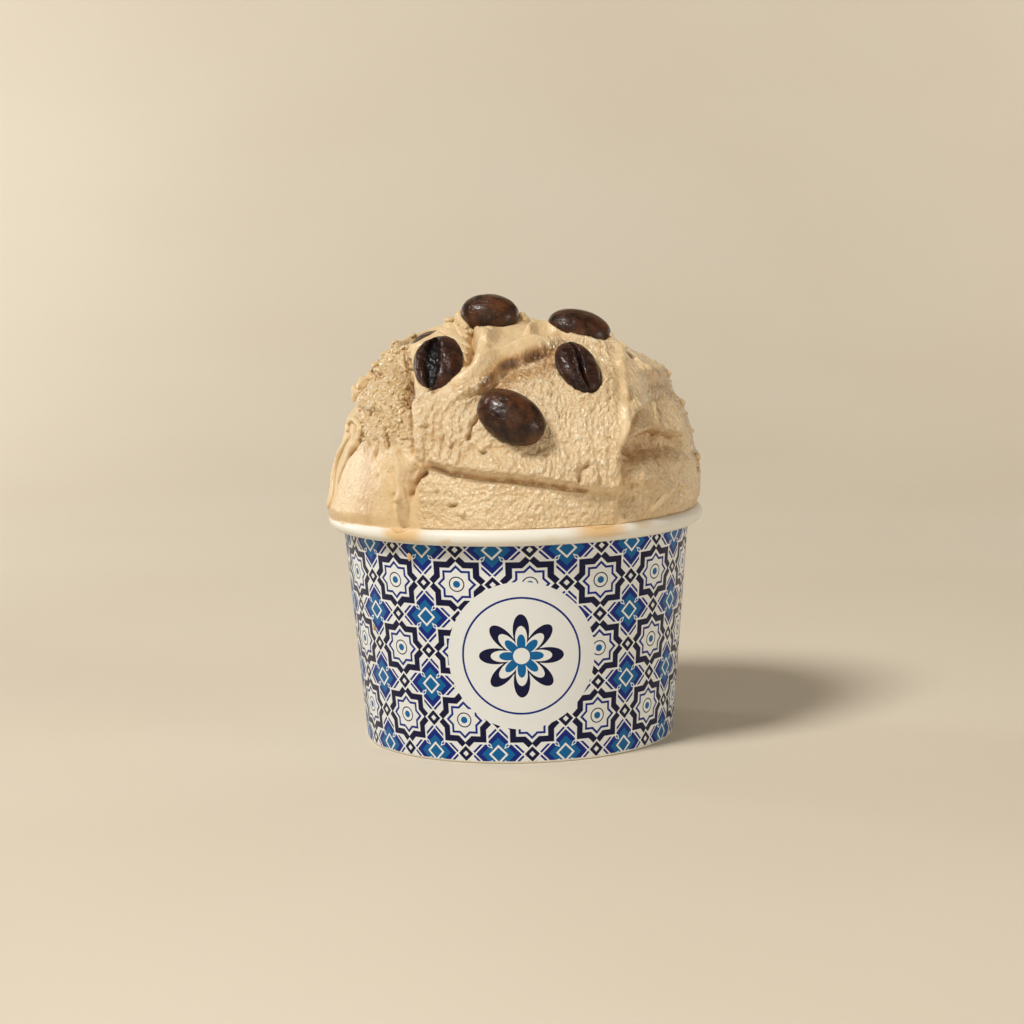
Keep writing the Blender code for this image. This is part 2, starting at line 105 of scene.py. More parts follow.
# Faces worked into the front: at each level, how far points across x stand proud (mm).
PANEL_FACE = ((-35.0, 0.0), (-28.0, 0.1), (-23.0, 0.3), (-20.0, -0.3), (-17.5, 0.5), (-12.0, 0.1), (-5.0, -0.6),
              (4.0, -1.0), (10.0, -0.7), (15.0, 0.3), (18.5, 1.6), (20.5, 1.7), (24.0, 0.5), (28.0, -0.8),
              (33.0, 0.0))
LOWER_FACE = ((-35.0, 0.0), (-28.0, 0.2), (-24.0, 0.1), (-22.0, 0.3), (-20.4, -0.2), (-16.0, 0.0), (-8.0, 0.2),
              (0.0, 0.2), (8.0, 0.1), (14.0, 0.3), (18.0, 0.8), (20.5, 0.1), (25.0, 0.4), (30.0, 0.2), (35.0, 0.0))
FACES = ((50.0, LOWER_FACE), (57.0, LOWER_FACE), (62.0, PANEL_FACE), (80.0, PANEL_FACE))

# The two side outlines: level, how far they stand proud (mm).
LEFT_SIDE = ((46.0, 1.0), (47.8, 0.3), (50.0, -0.8), (55.0, -1.4), (60.0, -1.6), (62.5, -1.6), (65.3, -1.3),
             (67.2, -1.7), (68.6, -0.9), (70.4, -0.6), (71.8, -0.9), (75.3, 0.0), (78.0, 1.0), (82.0, 0.4))
RIGHT_SIDE = ((46.0, -0.5), (48.0, 0.2), (50.0, 0.2), (56.0, 0.3), (57.5, -0.2), (62.5, 0.3), (66.0, 0.5),
              (68.5, 0.1), (71.0, 0.5), (73.0, 1.2), (75.0, 0.6), (79.0, -0.5))
RIGHT_TUCK = 0.4            # how far the gelato stands inside the rim at the right end

# Ridges (height > 0) and grooves (height < 0) wiped into the mound:
# side, height, half width, lean, points on the mound as (x, z), on top as (x, y).
STROKES = (
    # left of the wiped panel
    (FRONT, -0.5, 0.70, 0.0, ((-23.1, 46.5), (-23.2, 57.0))),
    (FRONT, -1.2, 0.90, 0.0, ((-20.0, 54.6), (-19.5, 56.4), (-18.9, 57.8))),
    (FRONT, -1.5, 0.60, 0.0, ((-20.4, 52.6), (-19.0, 55.2), (-17.4, 57.0))),
    (FRONT, -0.9, 0.60, 0.0, ((-19.6, 71.0), (-19.5, 66.0), (-19.5, 61.0))),
    (FRONT, -2.6, 1.15, 0.0, ((-20.0, 69.8), (-20.4, 72.8), (-20.9, 75.2))),
    # folds under the upper bean
    (FRONT, 2.2, 1.50, 0.0, ((-10.6, 73.2), (-7.8, 74.8), (-6.0, 77.2), (-5.0, 80.2))),
    (FRONT, 1.7, 1.80, 0.0, ((-4.4, 79.4), (-4.0, 82.0))),
    (FRONT, 1.6, 1.35, 0.0, ((-5.8, 76.4), (-2.8, 78.4), (1.0, 79.7), (4.4, 80.2), (8.6, 80.2))),
    (TOP, 2.0, 1.40, 0.0, ((3.2, -14.4), (4.4, -11.8), (7.0, -10.6), (9.6, -12.0), (13.0, -13.6), (17.0, -13.8))),
    (FRONT, -2.2, 1.30, 0.0, ((6.2, 80.9), (8.8, 81.0))),
    (FRONT, -2.6, 0.75, 0.0, ((-7.9, 82.6), (-7.7, 80.4), (-8.1, 78.2), (-8.8, 76.8))),
    (TOP, 2.9, 2.60, 0.0, ((-11.0, -7.4), (-8.2, -9.2))),
    (FRONT, -1.5, 0.80, 0.0, ((-13.2, 83.0), (-11.6, 82.2), (-9.6, 81.4))),
    (TOP, 1.4, 3.60, 0.0, ((-6.0, -7.6), (-1.0, -8.4))),
    (TOP, 0.9, 2.00, 0.0, ((-22.4, -8.0), (-21.0, -3.0))),
    (TOP, 1.1, 1.10, 0.0, ((-20.6, -9.6), (-17.6, -12.0), (-15.0, -12.8))),
    # right edge of the panel and the side behind it
    (TOP, 1.3, 1.60, 0.0, ((18.6, -8.8), (19.4, -12.0))),
    (FRONT, 0.4, 1.20, 0.0, ((19.5, 79.5), (20.6, 76.6), (20.0, 73.4))),
    (FRONT, 1.4, 1.00, 0.0, ((19.0, 81.0), (19.6, 79.8))),
    (FRONT, 1.1, 0.80, 0.0, ((20.8, 78.0), (21.3, 77.0))),
    (FRONT, 0.7, 0.70, 0.0, ((20.1, 75.6), (19.8, 74.4))),
    (FRONT, 0.7, 0.65, 0.0, ((20.7, 71.0), (20.4, 69.4))),
    (FRONT, 0.6, 0.70, 0.0, ((20.1, 66.8), (19.8, 65.2))),
    (FRONT, -2.3, 0.75, 0.0, ((22.0, 77.4), (22.8, 75.8), (23.6, 74.2))),
    (FRONT, -1.7, 2.20, 0.0, ((22.6, 60.0), (27.0, 60.6), (31.4, 59.6))),
    (FRONT, 0.8, 2.20, 0.0, ((21.4, 54.6), (24.6, 53.8), (28.6, 52.4))),
    (FRONT, 0.8, 1.60, 0.0, ((26.0, 73.0), (30.4, 72.0))),
    # left side: hollow of the curl and groove beside the long wiped lip
    (FRONT, -1.3, 0.75, 0.0, ((-32.9, 65.2), (-32.8, 63.8))),
    (FRONT, -1.4, 0.80, 0.0, ((-31.4, 62.4), (-33.8, 59.2), (-34.8, 57.3), (-35.9, 54.4), (-36.4, 52.0))),
    # back: one broad wiped shelf, folds over it and two upright ridges
    (BACK, 1.5, 1.5, 0.6, ((-24.0, 61.5), (-12.0, 60.4), (2.0, 61.2), (15.0, 63.6))),
    (BACK, -1.9, 2.0, 0.0, ((-23.0, 58.6), (-12.0, 57.4), (2.0, 58.2), (14.0, 60.4))),
    (BACK, 1.4, 1.3, 0.0, ((17.5, 49.0), (18.0, 57.0), (17.0, 66.0), (13.5, 74.0))),
    (BACK, -1.0, 1.0, 0.0, ((20.2, 50.0), (20.6, 58.0), (19.6, 66.0))),
    (BACK, 1.1, 1.2, 0.0, ((-26.0, 48.5), (-26.4, 55.0), (-27.6, 61.0))),
    (BACK, 2.0, 1.8, 1.1, ((-20.0, 72.5), (-12.0, 75.6), (-3.0, 76.6), (6.0, 79.6))),
    (BACK, -1.5, 1.7, 0.0, ((-18.0, 69.2), (-10.0, 72.2), (-2.0, 73.2), (5.0, 75.6))),
    (BACK, 1.5, 1.6, 0.7, ((-8.0, 81.2), (1.0, 82.6), (9.0, 80.8))),
    (BACK, 1.4, 1.4, 0.4, ((26.0, 70.6), (29.6, 65.0), (31.0, 58.6))),
    (BACK, -1.3, 1.6, 0.0, ((30.2, 54.0), (33.0, 60.0))),
    (BACK, -1.3, 1.4, 0.0, ((-31.4, 66.0), (-33.2, 60.0), (-34.6, 54.0))),
)

STEP_LINE = ((-18.4, 59.2), (-15.0, 58.6), (-10.0, 58.0), (-5.0, 57.3), (0.0, 56.9), (5.0, 56.1), (9.3, 55.2),
             (13.3, 54.3), (18.0, 53.4), (22.0, 52.8))
BAND_EDGE = ((16.6, 51.9), (13.3, 52.2), (9.3, 52.9), (3.0, 54.1), (0.0, 54.6), (-6.0, 55.2), (-10.0, 55.8),
             (-14.0, 56.5), (-16.8, 57.2))
FOLD_EDGE = ((-12.0, 71.6), (-7.6, 73.0), (-4.7, 75.0), (-2.4, 77.0), (1.3, 78.5), (4.8, 79.4), (8.8, 79.5))
ARCH = ((19.8, 60.0), (20.9, 61.9), (22.3, 62.7), (24.0, 63.5), (26.8, 63.8), (30.5, 62.7), (33.4, 60.8))
FACET_EDGE = ((19.2, 47.5), (19.0, 53.0), (18.9, 58.0), (19.5, 61.4), (20.8, 64.6), (22.2, 66.5), (24.4, 69.0))

# Folds with a steep face, raised to the left of the way they are drawn:
# side, raised, sunk, width of the face, run of the high side, run of the low side, lean, points.
LEDGES = (
    (FRONT, 0.8, 1.3, 2.3, 2.4, 3.0, 0.4, STEP_LINE),
    (FRONT, 0.7, 0.9, 1.0, 1.8, 1.3, 0.3, ((-19.0, 70.6), (-18.7, 67.0), (-18.5, 63.0), (-18.2, 59.4))),
    (FRONT, 0.5, 1.8, 1.7, 2.0, 3.0, 0.3, FOLD_EDGE),
    (FRONT, 1.0, 1.8, 1.2, 1.8, 5.0, 0.2, FACET_EDGE),
    (FRONT, 0.8, 1.5, 0.6, 1.8, 3.2, 0.7, ARCH),
)

# Finer marks of the spatula, torn bits, pits and cracks.
FINE_LEDGES = (
    # torn steps of the left slab
    (FRONT, 0.5, 0.8, 0.6, 1.2, 1.4, 0.2, ((-29.5, 75.0), (-27.2, 74.6), (-25.0, 75.0))),
    (FRONT, 0.4, 0.7, 0.5, 1.0, 1.2, 0.2, ((-31.0, 69.0), (-28.6, 68.2), (-27.2, 69.2))),
    # right side
    (FRONT, 0.4, 0.6, 0.6, 1.4, 1.6, 0.1, ((25.6, 47.0), (28.0, 49.6), (31.0, 51.4), (34.0, 51.6))),
    # crisp upper edge of the lower band
    (FRONT, 0.35, 0.30, 0.40, 1.2, 0.9, 0.0, BAND_EDGE),
    (BACK, 0.5, 0.8, 0.6, 1.4, 1.6, 0.2, ((14.0, 66.8), (4.0, 65.6), (-6.0, 66.8), (-15.0, 66.0))),
    (BACK, 0.4, 0.7, 0.6, 1.2, 1.6, 0.2, ((28.0, 54.0), (22.0, 51.6), (12.0, 52.4), (2.0, 50.6))),
)

FINE_STROKES = (
    # upright ridge left of the panel
    (FRONT, 1.1, 1.00, 0.0, ((-21.3, 43.0), (-21.4, 51.6))),
    (FRONT, 1.6, 0.90, 0.0, ((-21.4, 51.6), (-21.5, 56.5), (-22.3, 60.2))),
    # long lines drawn along the big fold
    (FRONT, -0.45, 0.45, 0.0, ((-8.6, 75.4), (-5.6, 78.4), (-4.4, 81.0))),
    (FRONT, 0.35, 0.45, 0.0, ((-6.4, 77.2), (-2.0, 79.6), (3.0, 81.4))),
    (FRONT, -0.35, 0.45, 0.0, ((-4.0, 78.2), (0.5, 80.0), (4.0, 81.0))),
    # cracks and pits on the panel
    (FRONT, -1.4, 0.42, 0.0, ((-6.8, 67.4), (-8.0, 65.6), (-8.9, 63.4))),
    (FRONT, 0.7, 0.7, 0.0, ((-6.6, 61.6), (-5.4, 62.2))),
    (FRONT, -0.6, 0.45, 0.0, ((-7.4, 61.2), (-6.2, 60.8))),
    (FRONT, -1.0, 0.45, 0.0, ((-12.8, 50.4), (-11.6, 50.7))),
    (FRONT, 0.6, 0.6, 0.0, ((-10.9, 50.4), (-10.0, 49.2))),
    (FRONT, -0.7, 0.5, 0.0, ((-15.5, 53.2), (-15.2, 53.0))),
    (FRONT, -1.1, 0.42, 0.0, ((7.1, 54.9), (7.6, 54.8))),
    (FRONT, -1.0, 0.6, 0.0, ((12.0, 55.4), (12.6, 56.9), (13.6, 57.5))),
    (FRONT, 0.6, 0.7, 0.0, ((14.6, 54.8), (14.4, 56.6))),
    (FRONT, 0.3, 0.6, 0.0, ((16.6, 55.5), (16.8, 61.5))),
    (FRONT, -0.3, 0.5, 0.0, ((15.6, 56.5), (15.6, 60.8))),
    (FRONT, -0.25, 0.5, 0.0, ((17.8, 57.5), (17.9, 64.5))),
    # left slab
    (FRONT, -2.3, 0.50, 0.0, ((-25.1, 64.6), (-24.8, 63.0), (-24.3, 61.4))),
    (FRONT, -1.8, 0.50, 0.0, ((-27.0, 61.3), (-27.2, 60.2), (-27.6, 59.5))),
    (FRONT, -0.9, 0.4, 0.0, ((-27.6, 62.4), (-27.1, 62.2))),
    (FRONT, -2.0, 0.75, 0.0, ((-20.9, 77.2), (-20.3, 75.2))),
    (FRONT, -1.2, 0.45, 0.0, ((-21.4, 78.8), (-20.2, 78.5))),
    (FRONT, -1.6, 0.55, 0.0, ((-15.9, 72.1), (-15.0, 71.9))),
    (FRONT, -1.5, 0.45, 0.0, ((-27.0, 74.3), (-25.3, 74.4))),
    (FRONT, -0.7, 0.4, 0.0, ((-23.2, 52.4), (-23.2, 50.6))),
    (FRONT, -0.5, 0.35, 0.0, ((-26.4, 55.6), (-26.2, 55.2))),
    # lower right
    (FRONT, -1.3, 0.6, 0.0, ((27.6, 58.2), (28.0, 56.9))),
    (FRONT, -0.8, 0.6, 0.0, ((21.8, 58.4), (22.8, 58.0))),
    (FRONT, -0.8, 0.45, 0.0, ((25.6, 61.6), (26.2, 61.5))),
    (FRONT, -0.7, 0.45, 0.0, ((28.6, 62.2), (29.2, 62.3))),
    (FRONT, -0.7, 0.4, 0.0, ((22.3, 53.1), (22.7, 52.9))),
    (FRONT, -0.6, 0.4, 0.0, ((20.9, 47.8), (21.2, 47.4))),
    (FRONT, -0.5, 0.4, 0.0, ((30.9, 48.6), (31.2, 48.3))),
    (FRONT, 0.5, 0.6, 0.0, ((23.8, 50.6), (23.9, 55.6))),
    (FRONT, -1.1, 0.7, 0.0, ((36.4, 54.6), (36.2, 53.4))),
    (FRONT, 0.5, 0.6, 0.0, ((27.8, 61.5), (27.6, 68.0))),
    (FRONT, -0.4, 0.6, 0.0, ((28.8, 61.5), (28.6, 67.4))),
    # back
    (BACK, -0.9, 0.6, 0.0, ((-16.0, 64.6), (-9.0, 65.4), (-4.0, 64.8))),
    (BACK, -0.8, 0.5, 0.0, ((4.0, 69.6), (10.0, 70.8))),
    (BACK, -0.7, 0.6, 0.0, ((24.4, 50.0), (25.6, 58.0))),
    (BACK, 0.7, 0.8, 0.2, ((22.0, 66.4), (27.0, 61.0), (29.0, 52.0))),
)

# Wiped arcs that start upright at the panel's left edge: height, half width, foot x, rise.
ARCS = ((0.70, 0.50, -17.4, 0.0), (0.55, 0.45, -15.8, 0.4), (0.60, 0.50, -14.1, 1.2), (0.40, 0.45, -12.4, 1.0),
        (0.40, 0.50, -10.6, 2.4))
ARC_GAP = 0.85              # from an arc's crest to the groove beside it
ARC_GROOVE = 0.6            # depth of that groove, as a share of the crest's height

# Painted shade: lines along which the gelato is painted browner for the shade in hollows, under folds and on shaded
# flanks: side, strength, half width, points.
PAINTED_SHADE_LINES = (
    # step, darkest just above the band's edge
    (FRONT, 0.78, 0.75, ((-17.2, 58.2), (-14.0, 57.4), (-10.0, 56.8), (-6.0, 56.2), (0.0, 55.5), (5.0, 54.9), (9.3, 54.0),
                         (13.3, 53.2))),
    (FRONT, 0.34, 1.50, ((-16.0, 58.6), (-8.0, 57.4), (0.0, 56.4), (8.0, 55.0), (12.0, 54.2))),
    # under the big fold and in the small hollow at its end
    (FRONT, 0.88, 1.30, ((-5.8, 73.4), (-4.2, 75.0), (-2.0, 76.8), (1.6, 78.0), (5.0, 78.7), (8.0, 78.8))),
    (FRONT, 0.68, 3.30, ((-5.4, 71.8), (-2.4, 73.8), (0.6, 75.4), (4.0, 76.2), (8.4, 76.8))),
    (FRONT, 0.70, 1.10, ((6.0, 81.0), (8.8, 81.1))),
    (FRONT, 0.55, 0.60, ((-8.0, 82.4), (-7.8, 80.4), (-8.2, 78.2), (-8.9, 76.8))),
    # torn recess left of the panel and the groove below it
    (FRONT, 1.00, 1.30, ((-19.8, 69.6), (-20.2, 72.6), (-20.6, 75.0))),
    # left slab: its lower part, the shade at its right, cracks and torn steps
    (FRONT, 0.42, 5.80, ((-29.5, 46.0), (-29.0, 59.0))),
    (FRONT, 0.42, 1.80, ((-22.8, 75.5), (-22.6, 70.0), (-22.8, 63.0))),
    (FRONT, 0.95, 0.50, ((-25.1, 64.6), (-24.7, 63.0), (-24.2, 61.3))),
    (FRONT, 0.90, 0.45, ((-27.0, 61.2), (-27.2, 60.2), (-27.6, 59.3))),
    (FRONT, 0.65, 0.60, ((-29.0, 74.2), (-25.6, 74.3))),
    (FRONT, 0.62, 0.70, ((-19.8, 69.4), (-19.7, 65.0), (-19.6, 60.6))),
    # right of the upright ridge
    (FRONT, 0.50, 0.70, ((-20.1, 51.6), (-19.8, 53.6), (-19.2, 55.7), (-18.2, 57.6))),
    # beside the lip and in its curl
    (FRONT, 0.95, 0.80, ((-31.4, 62.4), (-33.8, 59.2), (-34.8, 57.3), (-35.9, 54.4), (-36.4, 52.6))),
    (FRONT, 0.85, 0.70, ((-32.8, 65.0), (-32.8, 63.6))),
    # right side: hollow under the arch, pits, and the whole shaded flank
    (FRONT, 0.80, 0.45, ((21.6, 62.0), (24.0, 62.9), (26.8, 63.2), (30.2, 62.2), (32.0, 61.2))),
    (FRONT, 0.58, 2.80, ((22.0, 59.6), (26.0, 59.8), (31.0, 58.8))),
    (FRONT, 0.45, 1.00, ((20.6, 61.6), (22.0, 64.0), (24.2, 66.6))),
    (FRONT, 0.85, 0.70, ((27.4, 57.9), (27.9, 56.9))),
    (FRONT, 0.55, 0.90, ((21.4, 58.6), (22.6, 58.2))),
    (FRONT, 0.75, 0.80, ((36.1, 54.6), (36.0, 53.2))),
    (FRONT, 0.75, 0.50, ((22.0, 77.2), (22.8, 75.8), (23.4, 74.4))),
    (FRONT, 0.36, 6.00, ((28.0, 50.0), (28.5, 58.0), (28.0, 72.0))),
    (BACK, 0.45, 1.60, ((-23.0, 58.8), (-12.0, 57.6), (2.0, 58.4), (14.0, 60.6))),
    (BACK, 0.45, 1.40, ((-18.0, 69.4), (-10.0, 72.4), (-2.0, 73.4), (5.0, 75.8))),
)

# Where melted gelato runs over the rim: direction round the cup, half width, how far it hangs in degrees.
MELTS = (
    (-math.acos(-22.6 / RIM_RADIUS), 2.0, 44.0),
    (-math.acos(-34.0 / RIM_RADIUS), 2.2, 14.0),
    (-math.acos(16.0 / RIM_RADIUS), 3.0, 34.0),
    (math.radians(75.0), 4.0, 60.0),
    (math.radians(118.0), 2.6, 85.0),
)
# Where it has soaked into the rim: x, half width, height, half height, strength.
STAINS = (
    (-21.8, 4.8, 44.9, 1.4, 1.0),
    (-13.4, 1.0, 44.2, 0.5, 0.6),
    (16.4, 5.2, 45.5, 1.5, 1.0),
    (6.6, 1.3, 44.4, 0.6, 0.25),
    (24.5, 2.5, 45.6, 0.7, 0.45),
)

# Lumps of gelato larger than the grain: x and z on the front, radius, flatness, how far sunk (shares).
LUMPS = (
    (-30.2, 71.4, 1.9, 0.8, 0.40), (-31.0, 69.6, 1.7, 0.8, 0.40), (-28.6, 72.6, 1.2, 0.7, 0.5),
    (-27.3, 75.2, 0.85, 0.8, 0.4), (-25.8, 77.4, 0.7, 0.8, 0.5), (-23.4, 79.6, 0.8, 0.8, 0.5),
    (-19.9, 80.6, 0.7, 0.8, 0.4), (-19.6, 75.4, 0.55, 0.8, 0.4),
    (31.2, 72.2, 0.70, 0.9, 0.5), (33.6, 66.4, 0.90, 0.9, 0.5), (35.5, 60.8, 0.45, 0.9, 0.5),
    (36.2, 56.2, 0.85, 0.9, 0.5), (36.5, 53.4, 0.55, 0.9, 0.5),
    (-6.2, 61.5, 0.55, 0.8, 0.4), (-10.3, 49.6, 0.6, 0.6, 0.6),
)
NUB = ((2.4, -7.6, 84.0), 1.4)

# Curled rims and thin flakes: radius, flatness, lift, points on the front as (x, z).
FLAKES = (
    # long lip down the left outline, and the small curl over it
    (0.95, 0.80, 0.05, ((-32.4, 62.0), (-34.1, 59.2), (-35.0, 57.0), (-35.8, 54.4), (-36.3, 51.0), (-36.9, 48.0))),
    (0.62, 0.90, 0.20, ((-30.2, 61.8), (-30.0, 63.6), (-30.6, 64.8), (-31.8, 65.0), (-32.7, 64.0), (-32.8, 62.4))),
    # upright ridge left of the panel
    (1.30, 0.36, -0.24, ((-21.5, 54.2), (-21.4, 51.6), (-21.4, 49.0), (-21.4, 46.4))),
    (0.60, 0.45, 0.00, ((-21.0, 60.2), (-20.1, 58.9), (-18.8, 57.4))),
    # torn flakes on the shoulder
    (1.15, 0.70, 0.20, ((-13.0, 84.6), (-11.0, 84.0), (-9.2, 82.8), (-7.8, 81.8))),
    (0.95, 0.50, 0.25, ((-14.0, 82.4), (-11.8, 81.5), (-9.8, 80.3), (-8.4, 79.2))),
    (0.80, 0.45, 0.20, ((-13.0, 80.9), (-10.8, 79.9), (-9.0, 78.4))),
    (0.60, 0.50, 0.18, ((-11.6, 79.4), (-10.0, 78.2), (-9.0, 76.8))),
    (0.50, 0.70, 0.20, ((-21.5, 77.6), (-21.6, 76.2), (-21.0, 74.8))),
    # rim of the band and a crease low at the right
    (0.34, 0.60, -0.02, ((-11.0, 55.9), (-8.6, 55.5), (-6.0, 55.1), (0.0, 54.5), (3.0, 54.0), (9.3, 52.8),
                         (12.6, 52.3))),
    (0.70, 0.45, 0.00, ((26.0, 47.8), (28.0, 49.6), (30.6, 51.4))),
)
# Scattered crumbs: number, x from and to, z from and to, radius from and to, how far sunk.
CRUMBS = (
    (250, -31.0, -20.6, 61.6, 80.4, 0.26, 0.52, 0.62),
    (46, -29.0, -20.8, 66.0, 79.6, 0.36, 0.58, 0.62),
    (14, 31.0, 37.0, 50.0, 74.0, 0.16, 0.34, 0.50),
    (40, 22.0, 34.0, 60.0, 76.0, 0.16, 0.32, 0.60),
    (14, 18.0, 22.0, 62.0, 82.0, 0.18, 0.40, 0.60),
    (40, -12.5, -8.0, 75.0, 84.0, 0.16, 0.36, 0.50),
)
CRUMB_SEED = 77
# Drops on the printed wall: x, height, half width, half height.
DROPS = ((-20.6, 40.4, 0.55, 0.85), (-28.2, 25.0, 0.30, 0.45))

# ---- coffee beans ------------------------------------------------------------
# name, node, centre, long axis, outward side, length, width, thickness, highest gelato on its middle
# plane (mm), groove outwards, groove width, groove bend, groove offset, seed
BEANS = (
    ("top_bean", "bean_1", (-4.3, -9.0, 85.3), (1.0, -0.10, -0.10), (0.05, -0.72, 0.70),
     11.4, 8.4, 5.8, 0.2, False, 0.5, 0.3, 0.0, 1),
    ("right_top_bean", "bean_2", (13.2, -8.4, 81.9), (1.0, -0.05, -0.26), (0.22, -0.55, 0.80),
     12.6, 8.6, 5.8, 0.6, False, 0.5, 0.3, 0.0, 2),
    ("left_open_bean", "bean_3", (-14.3, -20.1, 76.8), (0.00, -0.67, -0.74), (-0.25, -0.72, 0.65),
     12.3, 9.9, 5.8, -0.3, True, 1.75, 0.30, 1.0, 3),
    ("right_open_bean", "bean_4", (12.5, -22.9, 75.5), (0.40, -0.50, -0.72), (0.25, -0.72, 0.65),
     11.9, 8.0, 5.6, -0.2, True, 0.42, 0.70, 0.1, 4),
    ("middle_bean", "bean_5", (-0.5, -31.9, 67.1), (0.82, -0.26, -0.50), (0.02, -0.88, 0.48),
     14.0, 9.7, 6.2, -0.2, False, 0.5, 0.3, 0.0, 5),
    ("rear_bean", "bean_6", (-5.4, 1.8, 84.6), (0.64, 0.77, -0.05), (-0.1, 0.25, 0.96),
     11.4, 8.2, 5.4, 9.0, False, 0.5, 0.3, 0.0, 6),
    ("left_rear_bean", "bean_7", (-16.2, -3.4, 78.4), (0.35, 0.93, 0.10), (-0.45, 0.10, 0.89),
     11.2, 8.0, 5.4, 2.3, False, 0.5, 0.3, 0.0, 7),
)
BEAN_COLUMNS = 128
BEAN_ROWS = 72

# ---- camera ------------------------------------------------------------------
CAMERA_AIM = (-0.75, 0.0, 44.85)
CAMERA_DISTANCE = 558.0
CAMERA_PITCH = 7.5
CAMERA_ROLL = 1.25
CAMERA_LENS = 97.4


# ==== number helpers ==========================================================
def ease(values):
    """Smooth step from 0 to 1."""
    t = np.clip(values, 0.0, 1.0)
    return t * t * (3.0 - 2.0 * t)


def spot(values, middle, width):
    """Bell of height 1."""
    return np.exp(-((values - middle) / width) ** 2)


def scramble(cells, seed):
    """A repeatable whole number for each lattice cell."""
    mixed = cells.astype(np.int64) @ np.array((73856093, 19349663, 83492791), np.int64)
    mixed = (mixed + seed * 40503) & 0xFFFFFFFF
    mixed = ((mixed >> 13) ^ mixed) * 1274126177 & 0xFFFFFFFF
    return (mixed >> 16) ^ mixed


DIRECTIONS = np.random.default_rng(11).normal(size=(256, 3))
DIRECTIONS /= np.linalg.norm(DIRECTIONS, axis=1)[:, None]
OFFSETS = np.random.default_rng(12).random((256, 3))


def grain(points, scale, seed=0):
    """Gradient noise of about -0.7 to 0.7; scale is a frequency, or one for each axis."""
    places = points * np.asarray(scale) + seed * 17.31
    corner = np.floor(places)
    inside = places - corner
    fade = inside ** 3 * (inside * (inside * 6.0 - 15.0) + 10.0)
    total = np.zeros(len(points))
    for code in range(8):
        step = np.array(((code >> 2) & 1, (code >> 1) & 1, code & 1))
        pick = DIRECTIONS[scramble(corner + step, seed) & 255]
        weight = np.prod(np.where(step == 1, fade, 1.0 - fade), axis=1)
        total += weight * np.einsum("ij,ij->i", pick, inside - step)
    return total


def cells(points, scale, seed=0):
    """Distances to the nearest and second nearest scattered point, in cells."""
    places = points * np.asarray(scale) + seed * 9.7
    corner = np.floor(places)
    near = np.full(len(points), 9.0)
    second = np.full(len(points), 9.0)
    for code in range(27):
        step = np.array((code // 9, code // 3 % 3, code % 3)) - 1
        cell = corner + step
        gap = np.linalg.norm(cell + OFFSETS[scramble(cell, seed) & 255] - places, axis=1)
        second = np.minimum(second, np.maximum(near, gap))
        near = np.minimum(near, gap)
    return near, second


# ==== mesh helpers ============================================================
def mesh_from_rows(name, rows, closed_across=True, first_pole=None, last_pole=None):
    """Mesh of quads over rows of points, with fans to the poles."""
    count = len(rows[0])
    points = [np.asarray(row) for row in rows]
    stack = np.concatenate(points)
    faces = []
    span = count if closed_across else count - 1
    for row in range(len(rows) - 1):
        for column in range(span):
            after = (column + 1) % count
            low = row * count
            high = low + count
            faces.append((low + column, low + after, high + after, high + column))
    extra = []
    if first_pole is not None:
        pole = len(stack) + len(extra)
        extra.append(first_pole)
        faces += [((column + 1) % count, column, pole) for column in range(count)]
    if last_pole is not None:
        pole = len(stack) + len(extra)
        extra.append(last_pole)
        top = (len(rows) - 1) * count
        faces += [(top + column, top + (column + 1) % count, pole) for column in range(count)]
    if extra:
        stack = np.concatenate((stack, np.array(extra)))
    mesh = bpy.data.meshes.new(name)
    mesh.from_pydata((stack * MM).tolist(), [], faces)
    mesh.update()
    mesh.shade_smooth()
    return mesh


def place(mesh, look, material_slot, nodes):
    """Object for a finished piece, riding on the only body."""
    item = bpy.data.objects.new(mesh.name, mesh)
    bpy.context.scene.collection.objects.link(item)
    mesh.materials.append(look)
    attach(item, "root")
    if nodes:
        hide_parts(*nodes)
    return item


def paint(mesh, name, values):
    """Float attribute on the vertices, for the material to read."""
    layer = mesh.attributes.new(name, "FLOAT", "POINT")
    layer.data.foreach_set("value", np.asarray(values, np.float32))


